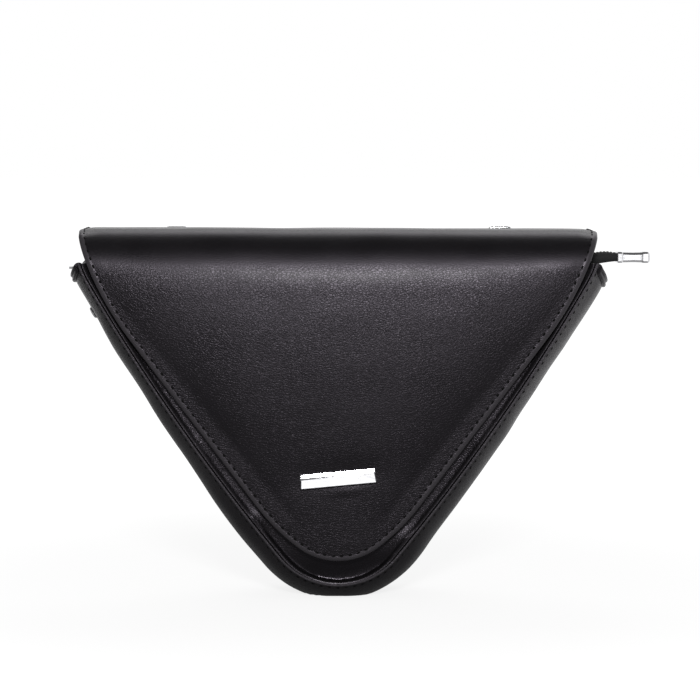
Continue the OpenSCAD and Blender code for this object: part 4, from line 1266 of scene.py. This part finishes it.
class BAG_OT_linings(bpy.types.Operator):
    """Woven linings of the walls, gusset, collar and flap"""

    bl_idname = "bag.linings"
    bl_label = "Linings"

    def execute(self, context):
        self.walls()
        self.gusset()
        self.collar_and_flap()
        return {"FINISHED"}

    def walls(self):
        low = 167.3
        for name, way in (("front", 1), ("back", -1)):
            edge = inset_seam(3.05, low)
            close = [(x, low) for x in np.arange(-128, 129, 4.0)]
            pattern = cut_pattern(edge, close, (0.0, 1.5, 4.0), 4.0)

            def place(x, z):
                return Vector((x, -way * LINING_HALF, z)), Vector((0, way, 0))

            def face(x, z, d):
                return 0.6 + 0.25 * smooth(d, 1, 8) * (1 + wave(x, z, 3, 24))

            piece = slab_mesh(name + "_lining_cloth", pattern, place, face, lambda x, z, d: 0.0,
                              lining_material())
            dress(piece, "lining", "bag", name + "_lining")

    def gusset(self):
        rings = []
        across = [LINING_HALF * math.sin(math.pi / 2 * t) for t in np.linspace(-1, 1, 25)]
        for side, s in gusset_rows()[1:-1]:
            outer, inner = [], []
            for y in across:
                out = bulge_at(s) * swell(y, LINING_HALF)
                ripple = 0.3 * wave(side * s, y, 7, 18, 2.2) * swell(y, LINING_HALF)
                outer.append(gusset_point(side, s, y, out - 1.3, 1.25))
                inner.append(gusset_point(side, s, y, out - 1.9 - 0.4 + ripple, 1.85))
            rings.append(outer + inner[::-1])
        piece = sweep_mesh("gusset_lining_cloth", rings, lining_material())
        dress(piece, "lining", "bag", "gusset_lining")

    def collar_and_flap(self):
        def under(x, s):
            y, z, ny, nz = face_at(s)
            return Vector((x, y, z)), Vector((0, ny, nz))

        def collar_back(x, s, d):
            return -2.42 - 0.55

        def flap_under(x, s, d):
            return -2.42 - 0.12 * smooth(d, 1, 9) * (1 + wave(x, s, 1, 30)) - 0.55

        low, half = MOUTH_Z + 0.1, 134.0
        right = [(half, s) for s in np.arange(low, JOIN_S, 2.0)] + [(half, JOIN_S)]
        edge = [(-x, s) for x, s in right[::-1]] + [(x, low) for x in np.arange(-130, 131, 4.0)] + right
        close = [(x, JOIN_S) for x in np.arange(-130, 131, 3.0)]
        pattern = cut_pattern(edge, close, (0.0, 1.5, 4.0), 3.2)
        piece = slab_mesh("collar_and_top_lining_cloth", pattern, under,
                          lambda x, s, d: -2.42, collar_back, lining_material())
        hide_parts("collar_lining", "flap_top_lining")
        blend_at_fold(piece)
        edge = [(x * 0.988, s - 1.2) for x, s in flap_edge()]
        edge[0], edge[-1] = (edge[0][0], JOIN_S), (edge[-1][0], JOIN_S)
        edge = [p for i, p in enumerate(edge) if i in (0, len(edge) - 1) or p[1] > JOIN_S + 0.4]
        pattern = cut_pattern(edge, close, (0.0, 1.2, 3.0, 6.0), 3.4)
        piece = slab_mesh("flap_lining_cloth", pattern, flap_inside,
                          lambda x, s, d: -2.4, flap_under, lining_material())
        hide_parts("flap_lining")
        blend_at_crown(piece)


def long_strip(name, section, x0, x1, material, step=3.0, sharp=38.0):
    """A strip along X with a side view section of (y, z) points."""
    rings = [[(x, y, z) for y, z in section] for x in np.linspace(x0, x1, max(2, int((x1 - x0) / step)))]
    return sweep_mesh(name, rings, material, sharp=sharp)


def on_side(way, section):
    """A section drawn for the back, on the front where way is -1."""
    return [(way * y, z) for y, z in section]


class BAG_OT_facings(bpy.types.Operator):
    """Leather facings inside the mouth, which carry the zip"""

    bl_idname = "bag.facings"
    bl_label = "Facings"

    def execute(self, context):
        section = [(22.55, 167.35), (22.55, 175.2), (22.3, 175.5), (21.7, 175.5), (21.42, 175.2),
                   (21.4, 169.6), (21.1, 168.8), (20.3, 168.5), (16.5, 168.5), (16.22, 168.2),
                   (16.22, 167.6), (16.5, 167.32)]
        for name, way in (("front_facing", -1), ("back_facing", 1)):
            piece = long_strip(name + "_leather", on_side(way, section), -128.5, 128.5, leather_material())
            dress(piece, "leather", "bag", name)
            row = [(Vector((x, way * 18.2, 169.12)), Vector((0, 0, 1))) for x in np.arange(-124, 124.1, 4)]
            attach(stitch_rows(name + "_stitches", [row], 2.6, 3.6, 0.3), "bag")
        return {"FINISHED"}


ZIP_Z = 168.8
ZIP_END, ZIP_HALF, SLIDER_AT = 125.604, 104.104, 115.104
STOP_X = SLIDER_AT + 6.3
ZIP_GAP = 0.15
TOOTH_PITCH = 3.0
ZIP_ENDS = (-ZIP_HALF - ZIP_GAP, ZIP_HALF + ZIP_GAP)
TAPE_SECTION = ((2.8, 168.5), (2.8, 169.1), (9, 169.12), (15.4, 169.1), (17, 169.1), (19.8, 169.08),
                (19.8, 168.52), (17, 168.5), (15.4, 168.5), (9, 168.48))
END_SECTION = ((2.8, 168.5), (2.8, 169.1), (9, 169.12), (19.8, 169.08), (19.8, 168.52), (9, 168.48))


def tooth_line(way, x0, x1):
    """Line of one row's teeth between two places; the back row stands half a step along."""
    phase = 0.0 if way < 0 else TOOTH_PITCH / 2
    first = math.ceil((x0 + 0.6 - phase) / TOOTH_PITCH) * TOOTH_PITCH + phase
    last = math.floor((x1 - 0.6 - phase) / TOOTH_PITCH) * TOOTH_PITCH + phase
    ends = (first, last) if way < 0 else (last, first)
    return [(Vector((x, way * 1.4, ZIP_Z)), Vector((0, 0, 1))) for x in ends]


def tooth_bead(way, x0, x1):
    """Bead of the tape that one row's teeth sit on."""
    section = [(way * (2.1 + 0.62 * math.cos(a)), ZIP_Z + 0.72 * math.sin(a)) for a in full_turn(10)]
    return long_strip("bead", section, x0, x1, tape_material(), 6.0, 60)


class BAG_OT_zip(bpy.types.Operator):
    """Zip tapes and their rows of teeth, on the fixed ends and on the two folding stretches"""

    bl_idname = "bag.zip"
    bl_label = "Zip"

    def execute(self, context):
        cloth, metal = tape_material(), metal_material()
        for name, way in (("front", -1), ("back", 1)):
            section = on_side(way, TAPE_SECTION)
            tape = long_strip(name + "_zip_tape_cloth", section, -ZIP_HALF, ZIP_HALF, cloth)
            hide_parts(name + "_zip_tape")
            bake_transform(tape)
        ends = [long_strip("end", on_side(way, END_SECTION), x0, x1, cloth)
                for way in (-1, 1) for x0, x1 in ((-ZIP_END, ZIP_ENDS[0]), (ZIP_ENDS[1], ZIP_END))]
        dress(join_pieces("zip_end_tape_cloth", ends), "zip_tape", "bag", "zip_end_tapes")
        unit = self.tooth(metal)
        for name, way in (("front", -1), ("back", 1)):
            piece = name + "_zip_teeth"
            line = tooth_line(way, -ZIP_HALF, ZIP_HALF)
            teeth = repeated(piece + "_row", [line], unit, TOOTH_PITCH, metal, 0.0)
            row = join_pieces(piece + "_metal", [teeth, tooth_bead(way, -ZIP_HALF, ZIP_HALF)])
            dress(row, "metal", name + "_tape", piece)
        stretches = [(way, x0, x1) for way in (-1, 1)
                     for x0, x1 in ((-STOP_X, ZIP_ENDS[0]), (ZIP_ENDS[1], STOP_X))]
        beads = [tooth_bead(*stretch) for stretch in stretches]
        lines = [tooth_line(*stretch) for stretch in stretches]
        teeth = repeated("end_row", lines, unit, TOOTH_PITCH, metal, 0.0)
        dress(join_pieces("zip_end_teeth_metal", [teeth, *beads]), "metal", "bag", "zip_end_teeth")
        bpy.data.objects.remove(unit)
        for name in ("zip_top_stops", "zip_bottom_stop"):
            dress(bevelled_copy(name, metal, 0.00035), "metal", "bag", name)
        return {"FINISHED"}

    def tooth(self, metal):
        """One moulded tooth: a rounded foot on the bead, a waist and a wider head, along +Y."""
        rings = []
        for y, half_w, half_h in ((-1.3, 0.35, 0.9), (-1.1, 0.5, 1.05), (0.2, 0.5, 1.08), (0.9, 0.36, 0.9),
                                  (1.5, 0.38, 0.85), (2.1, 0.55, 0.95), (2.35, 0.4, 0.7)):
            c = 0.3
            rings.append([(half_w * u, y, half_h * v) for u, v in
                          ((-1, -1 + c), (-1 + c, -1), (1 - c, -1), (1, -1 + c), (1, 1 - c), (1 - c, 1),
                           (-1 + c, 1), (-1, 1 - c))])
        return sweep_mesh("tooth unit", rings, metal)


class BAG_OT_slider(bpy.types.Operator):
    """Zip slider and its pull"""

    bl_idname = "bag.slider"
    bl_label = "Slider and pull"

    def execute(self, context):
        metal = polished_material()
        for name, body, width in (("zip_slider", "slider", 0.00022), ("zip_pull", "pull", 0.0002)):
            dress(bevelled_copy(name, metal, width), "polished_metal", body, name)
        return {"FINISHED"}


CAP_X, CAP_Z = 146.704, 178.0


def rounded_box_ring(x, z, half_w, half_h, cut, lean=(0, 1)):
    """Eight-cornered ring across X at a point, with cut corners, leaned to follow a path."""
    c = min(cut, half_h * 0.9, half_w * 0.9)
    return [(x + v * lean[0], y, z + v * lean[1]) for y, v in
            ((-half_w, -half_h + c), (-half_w + c, -half_h), (half_w - c, -half_h), (half_w, -half_h + c),
             (half_w, half_h - c), (half_w - c, half_h), (-half_w + c, half_h), (-half_w, half_h - c))]


class BAG_OT_zip_tail(bpy.types.Operator):
    """Tail of the zip with its teeth, its neck and the polished cap"""

    bl_idname = "bag.zip_tail"
    bl_label = "Zip tail"

    def execute(self, context):
        resin, cloth = moulded_material(), tape_material()
        path = [(130.75, 175.4), (131.6, 176.2), (134.5, 177.2), (138, 177.8), (141.3, 178.1), (144, 178.1),
                (146.5, 178.0), (149.6, 178.0)]
        halves = (1.2, 2.3, 2.8, 2.8, 2.6, 2.3, 1.95, 1.8)
        rings = []
        for i, ((x, z), half) in enumerate(zip(path, halves)):
            ahead, behind = path[min(i + 1, len(path) - 1)], path[max(i - 1, 0)]
            run, rise = ahead[0] - behind[0], ahead[1] - behind[1]
            size = math.hypot(run, rise)
            rings.append(rounded_box_ring(x, z, 5.55, half, 0.8, (-rise / size, run / size)))
        tail = sweep_mesh("tail_tape_body", rings, cloth, sharp=50)
        teeth = []
        tooth = ((-0.55, 2.6, -0.3), (-0.35, 3.1, 0.05), (0.35, 3.1, 0.05), (0.55, 2.6, -0.3))
        for x in np.arange(133.2, 146.4, 1.75):
            z = through(path, x) + through(((131, 0.3), (134.5, 0.9), (141.3, 0.7), (147, 0.0)), x)
            rings = [rounded_box_ring(x + dx, z + 0.25, w, 2.05 + h, 0.7) for dx, w, h in tooth]
            teeth.append(sweep_mesh("rib", rings, resin, sharp=50))
        tail = join_pieces("zip_tail_tape_cloth", [tail, *teeth])
        dress(tail, "zip_tape", "tail", "zip_tail_tape")
        neck_path = [(125.65, 168.85, 0.35), (126.6, 169.5, 0.8), (128.0, 170.9, 1.4), (129.3, 172.6, 1.9),
                     (130.3, 174.1, 2.0)]
        rings = [rounded_box_ring(x, z, 5.5, h, 0.6, (-0.35, 0.94)) for x, z, h in neck_path]
        rings[-1] = [(min(p[0], 130.33), p[1], p[2]) for p in rings[-1]]
        neck = sweep_mesh("zip_neck_cloth", rings, cloth, sharp=50)
        dress(neck, "zip_tape", "bag", "zip_neck")
        self.cap()
        return {"FINISHED"}

    def cap(self):
        """Hollow cap: flared mouth, waisted body with cut corners and a stepped end."""
        outer = ((0.05, 6.4, 2.85, 0.7), (0.35, 6.5, 2.9, 0.9), (2.2, 6.45, 2.85, 1.0), (2.8, 6.15, 2.6, 1.1),
                 (8.0, 6.0, 2.5, 1.2), (12.6, 6.15, 2.6, 1.2), (13.4, 6.5, 2.9, 1.1), (15.8, 6.5, 2.9, 1.0),
                 (16.6, 6.1, 2.5, 1.0), (16.95, 5.3, 1.9, 0.9))
        inner = ((3.6, 5.55, 1.95, 0.4), (0.05, 5.75, 2.2, 0.5))
        rings = [rounded_box_ring(CAP_X + x, CAP_Z, w, h, c) for x, w, h, c in inner + outer]
        cap = sweep_mesh("zip_tail_cap_metal", rings, polished_material(), sharp=14)
        dress(cap, "polished_metal", "tail", "zip_tail_cap")


class BAG_OT_bar(bpy.types.Operator):
    """Bar plate on the flap: a wide face under a narrow bright bevel"""

    bl_idname = "bag.bar"
    bl_label = "Bar plate"

    def execute(self, context):
        half_l, half_h, deep = 20.0, 3.8, 2.6
        lower_slot = (half_h * 0.40, half_h * 0.44)
        turn = Matrix.Rotation(-BAR_TURN, 4, "Y")
        section = ((-half_h, 0.0), (-half_h, -1.6), (-half_h * 0.93, -2.4), (-half_h * 0.86, -deep - 0.1),
                   (half_h * 0.40, -deep + 0.32), (half_h * 0.44, -1.1), (half_h * 0.53, -1.1),
                   (half_h * 0.56, -2.05), (half_h * 0.96, -1.58), (half_h, -1.3), (half_h, 0.0))
        rings = []
        ends = ((0.0, 0.5, 0.2), (0.1, 0.75, 0.05), (0.45, 0.97, 0.0), (0.7, 1.0, 0.0))
        steps = [(-half_l + cut, depth, trim) for cut, depth, trim in ends]
        steps += [(half_l - cut, depth, trim) for cut, depth, trim in ends[::-1]]
        for x, depth, trim in steps:
            ring = []
            for z, y in section:
                narrow = 0.022 * smooth(z, -half_h, 0.4 * half_h)
                wide = 0.012 * smooth(z, 0.5 * half_h, half_h)
                slope = 0.014 * (half_l - x) if z in lower_slot else 0.0
                ring.append(Vector((x * (1.0 - narrow + wide), y * depth, z * (1 - trim / half_h) - slope)))
            rings.append([turn @ p + Vector((0, SKIRT_Y, BAR_Z)) for p in ring])
        plate = sweep_mesh("bar_plate_metal", rings, polished_material(), sharp=10)
        dress(plate, "polished_metal", "flap", "bar_plate")
        return {"FINISHED"}


class BAG_OT_rings_and_tabs(bpy.types.Operator):
    """Strap rings in their stitched leather tabs"""

    bl_idname = "bag.rings_and_tabs"
    bl_label = "Strap rings and tabs"

    def execute(self, context):
        for side in ("left", "right"):
            self.ring(side + "_ring")
            self.tab(side + "_tab")
        return {"FINISHED"}

    def ring(self, name):
        """Ring of round wire, with rounder corners above than below."""
        low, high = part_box(name)
        mid = (low + high) / 2 / MM
        half_w, half_h = (high.x - low.x) / 2 / MM - 1.0, (high.z - low.z) / 2 / MM - 1.0
        path = []
        for cx, cz, a0 in ((1, 1, 0), (-1, 1, 90), (-1, -1, 180), (1, -1, 270)):
            r = 2.0 if cz > 0 else 1.4
            path += arc((cx * (half_w - r), cz * (half_h - r)), r, range(a0, a0 + 91, 15))
        rings = []
        for i, (x, z) in enumerate(path):
            ahead, behind = path[(i + 1) % len(path)], path[i - 1]
            t = Vector((ahead[0] - behind[0], 0, ahead[1] - behind[1])).normalized()
            out = Vector((t.z, 0, -t.x))
            centre = Vector((mid.x + x, mid.y, mid.z + z))
            rings.append([centre + out * math.cos(a) + Vector((0, math.sin(a), 0)) for a in full_turn(14)])
        dress(sweep_mesh(name + "_metal", rings, metal_material(), sharp=60, loop=True), "metal", name, name)

    def tab(self, name):
        """Leather tab folded round its ring, with a stitch row along each side."""
        low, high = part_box(name)
        cx, half = (low.x + high.x) / 2 / MM, (high.x - low.x) / 2 / MM
        eye = (27.15, 183.0)
        loop = [(25.08, 168.2), (25.02, 176), (25.02, 182.2), *arc(eye, 2.12, range(165, 0, -15)),
                (29.25, 182.2), (29.25, 176), (29.2, 168.6), (28.9, 168.2), (28.3, 168.2), (28.2, 176),
                (28.2, 181.4), *arc(eye, 1.13, range(0, 181, 15)), (26.1, 181.4), (26.1, 176), (26.1, 168.2)]
        rings = [[(cx + x, y, z) for y, z in loop] for x in (-half, -half + 0.25, half - 0.25, half)]
        for k in (0, 3):
            centre = np.mean(np.array(rings[k]), axis=0)
            rings[k] = [tuple(np.array(p) + 0.04 * (centre - np.array(p)) * (0, 1, 0.2)) for p in rings[k]]
        dress(sweep_mesh(name + "_leather", rings, leather_material(), sharp=45), "leather", "bag", name)
        rows = [[(Vector((cx + dx, 29.2, z)), Vector((0, 1, 0))) for z in np.arange(169.6, 181.1, 1.6)]
                for dx in (-half + 1.1, half - 1.1)]
        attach(stitch_rows(name + "_stitches", rows, 2.2, 2.9, 0.28), "bag")


class BAG_OT_snap_and_rivets(bpy.types.Operator):
    """Magnetic snap, rivets, washers and the bar's backing strip"""

    bl_idname = "bag.snap_and_rivets"
    bl_label = "Snap and rivets"

    def execute(self, context):
        metal = metal_material()
        on_bag = ("snap_socket", "snap_socket_washer", "gusset_rivets", "gusset_rivet_washers",
                  "tab_rivets", "tab_rivet_washers")
        on_flap = ("snap_stud", "snap_stud_washer", "bar_backing")
        for body, names in (("bag", on_bag), ("flap", on_flap)):
            for name in names:
                dress(bevelled_copy(name, metal, 0.00016), "metal", body, name)
        for name in ("front_board", "back_board", "flap_board"):
            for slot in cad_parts[name].material_slots:
                slot.material = board_material()
        return {"FINISHED"}


# Stage


def direct_view(tree, paths):
    """1 for rays that come from the camera, also through clear pieces."""
    return maths(tree, "MAXIMUM", paths["Is Camera Ray"], paths["Is Transmission Ray"])


def floor_material():
    """White floor that shows plain shading and shadows over a glow that the camera sees."""
    plain, glow = 0.24, 0.83
    m = bpy.data.materials.new("White floor")
    m.use_nodes = True
    tree = m.node_tree
    tree.nodes.clear()
    where = node(tree, "ShaderNodeTexCoord", (-1100, 200)).outputs["Object"]
    parts = node(tree, "ShaderNodeSeparateXYZ", (-900, 200), {0: where}).outputs
    paths = node(tree, "ShaderNodeLightPath", (-500, 0)).outputs
    slanted = maths(tree, "ADD", parts["Y"], maths(tree, "MULTIPLY", parts["X"], 0.8))
    behind = ranged(tree, slanted, -0.05, 0.5, 0.10, 0.8)
    beside = ranged(tree, maths(tree, "ABSOLUTE", parts["X"]), 0.6, 1.4, 0.10, 0.5)
    mirrored = maths(tree, "MULTIPLY", paths["Is Glossy Ray"], maths(tree, "MAXIMUM", behind, beside))
    seen = maths(tree, "MAXIMUM", mirrored, direct_view(tree, paths))
    far = node(tree, "ShaderNodeVectorMath", (-700, -300), {0: where}, operation="LENGTH")
    rising = ranged(tree, far.outputs["Value"], 0.15, 0.6, glow, 1.0)
    diffuse = node(tree, "ShaderNodeBsdfDiffuse", (0, 100), {"Color": (plain, plain, plain, 1)})
    light = node(tree, "ShaderNodeEmission", (0, -100),
                 {"Color": (1, 1, 1, 1), "Strength": maths(tree, "MULTIPLY", seen, rising)})
    both = node(tree, "ShaderNodeAddShader", (300, 0), {0: diffuse.outputs[0], 1: light.outputs[0]})
    node(tree, "ShaderNodeOutputMaterial", (600, 0), {"Surface": both.outputs[0]})
    return m


def soft_box(name, place, aim, size, power):
    """A lamp with a wide face, turned to a point."""
    lamp = bpy.data.lights.new(name, "AREA")
    lamp.shape = "RECTANGLE"
    lamp.size, lamp.size_y = size
    lamp.energy = power
    obj = bpy.data.objects.new(name, lamp)
    obj.location = place
    obj.rotation_euler = (Vector(aim) - Vector(place)).to_track_quat("-Z", "Y").to_euler()
    bpy.context.scene.collection.objects.link(obj)


class BAG_OT_stage(bpy.types.Operator):
    """White floor, soft studio lamps and the camera at the photograph's view"""

    bl_idname = "bag.stage"
    bl_label = "Stage"

    def execute(self, context):
        scene, look = context.scene, context.scene.bag_studio
        mesh = bpy.data.meshes.new("floor")
        mesh.from_pydata([(-30, -12, 0), (30, -12, 0), (30, 60, 0), (-30, 60, 0)], [], [(0, 1, 2, 3)])
        mesh.materials.append(floor_material())
        floor = bpy.data.objects.new("floor", mesh)
        scene.collection.objects.link(floor)
        self.surroundings(scene, look)
        soft_box("strip lamp", (0.03, -1.15, 0.60), (0, 0, 0.16), (0.25, 0.16), look.strip)
        soft_box("top lamp", (0.0, 0.75, 1.25), (0, 0, 0.1), (1.2, 0.6), look.top)
        soft_box("bar card", (-0.006, -1.42, 0.125), (0, 0, 0.10), (0.24, 0.12), look.cards)
        soft_box("cap card", (0.31, -1.42, 0.135), (0.15, 0, 0.17), (0.16, 0.12), look.cards * 0.7)
        lens = bpy.data.cameras.new("camera")
        lens.sensor_fit = "HORIZONTAL"
        lens.angle = look.view_angle
        lens.clip_end = 100
        camera = bpy.data.objects.new("camera", lens)
        camera.location = (0.0062, -1.3, 0.224)
        camera.rotation_euler = (math.radians(90 - 4.184), 0, 0)
        scene.collection.objects.link(camera)
        scene.camera = camera
        scene.view_settings.view_transform = "Standard"
        return {"FINISHED"}

    def surroundings(self, scene, look):
        """White to the camera, dim in reflections except from behind and from the right."""
        world = bpy.data.worlds.new("Studio")
        scene.world = world
        world.use_nodes = True
        tree = world.node_tree
        tree.nodes.clear()
        paths = node(tree, "ShaderNodeLightPath", (-500, 0)).outputs
        way = node(tree, "ShaderNodeTexCoord", (-900, -300)).outputs["Generated"]
        facing = node(tree, "ShaderNodeVectorMath", (-700, -300), {0: way, 1: (0.45, 0.89, 0.0)},
                      operation="DOT_PRODUCT")
        across = node(tree, "ShaderNodeSeparateXYZ", (-700, -500), {0: way}).outputs["X"]
        right = ranged(tree, across, 0.5, 0.95, look.reflected, 0.6)
        left = ranged(tree, across, -0.98, -0.75, 0.3, look.reflected)
        behind = ranged(tree, facing.outputs["Value"], 0.25, 0.88, look.reflected, 1.0)
        backdrop = maths(tree, "MAXIMUM", maths(tree, "MAXIMUM", right, left), behind)
        glossed = maths(tree, "MULTIPLY", paths["Is Glossy Ray"], backdrop)
        plain = maths(tree, "MULTIPLY", paths["Is Diffuse Ray"], look.fill)
        strength = maths(tree, "MAXIMUM", direct_view(tree, paths), maths(tree, "ADD", glossed, plain))
        sky = node(tree, "ShaderNodeBackground", (300, 0), {"Color": (1, 1, 1, 1), "Strength": strength})
        node(tree, "ShaderNodeOutputWorld", (600, 0), {"Surface": sky.outputs[0]})


OPERATORS = (BAG_OT_stage, BAG_OT_flap_front, BAG_OT_back_and_top, BAG_OT_front_wall, BAG_OT_gusset,
             BAG_OT_bindings, BAG_OT_linings, BAG_OT_facings, BAG_OT_zip, BAG_OT_slider, BAG_OT_zip_tail,
             BAG_OT_bar, BAG_OT_rings_and_tabs, BAG_OT_snap_and_rivets)
SETTINGS = (("bag_leather", BagLeatherSettings), ("bag_stitch", BagStitchSettings),
            ("bag_cloth", BagClothSettings), ("bag_metal", BagMetalSettings),
            ("bag_studio", BagStudioSettings))


class BAG_PT_pieces(bpy.types.Panel):
    """Pieces of the bag and their settings"""

    bl_idname = "BAG_PT_pieces"
    bl_label = "Shoulder bag"
    bl_space_type = "VIEW_3D"
    bl_region_type = "UI"
    bl_category = "Bag"

    def draw(self, context):
        for name, group in SETTINGS:
            box = self.layout.box()
            for key in group.__annotations__:
                box.prop(getattr(context.scene, name), key)
        for operator in OPERATORS:
            self.layout.operator(operator.bl_idname)


def register():
    for name, group in SETTINGS:
        bpy.utils.register_class(group)
        setattr(bpy.types.Scene, name, bpy.props.PointerProperty(type=group))
    for operator in OPERATORS:
        bpy.utils.register_class(operator)
    bpy.utils.register_class(BAG_PT_pieces)


def unregister():
    bpy.utils.unregister_class(BAG_PT_pieces)
    for operator in reversed(OPERATORS):
        bpy.utils.unregister_class(operator)
    for name, group in reversed(SETTINGS):
        delattr(bpy.types.Scene, name)
        bpy.utils.unregister_class(group)


def main():
    """Makes every piece and the stage."""
    register()
    for operator in OPERATORS:
        group, call = operator.bl_idname.split(".")
        getattr(getattr(bpy.ops, group), call)()


if __name__ == "__main__":
    main()
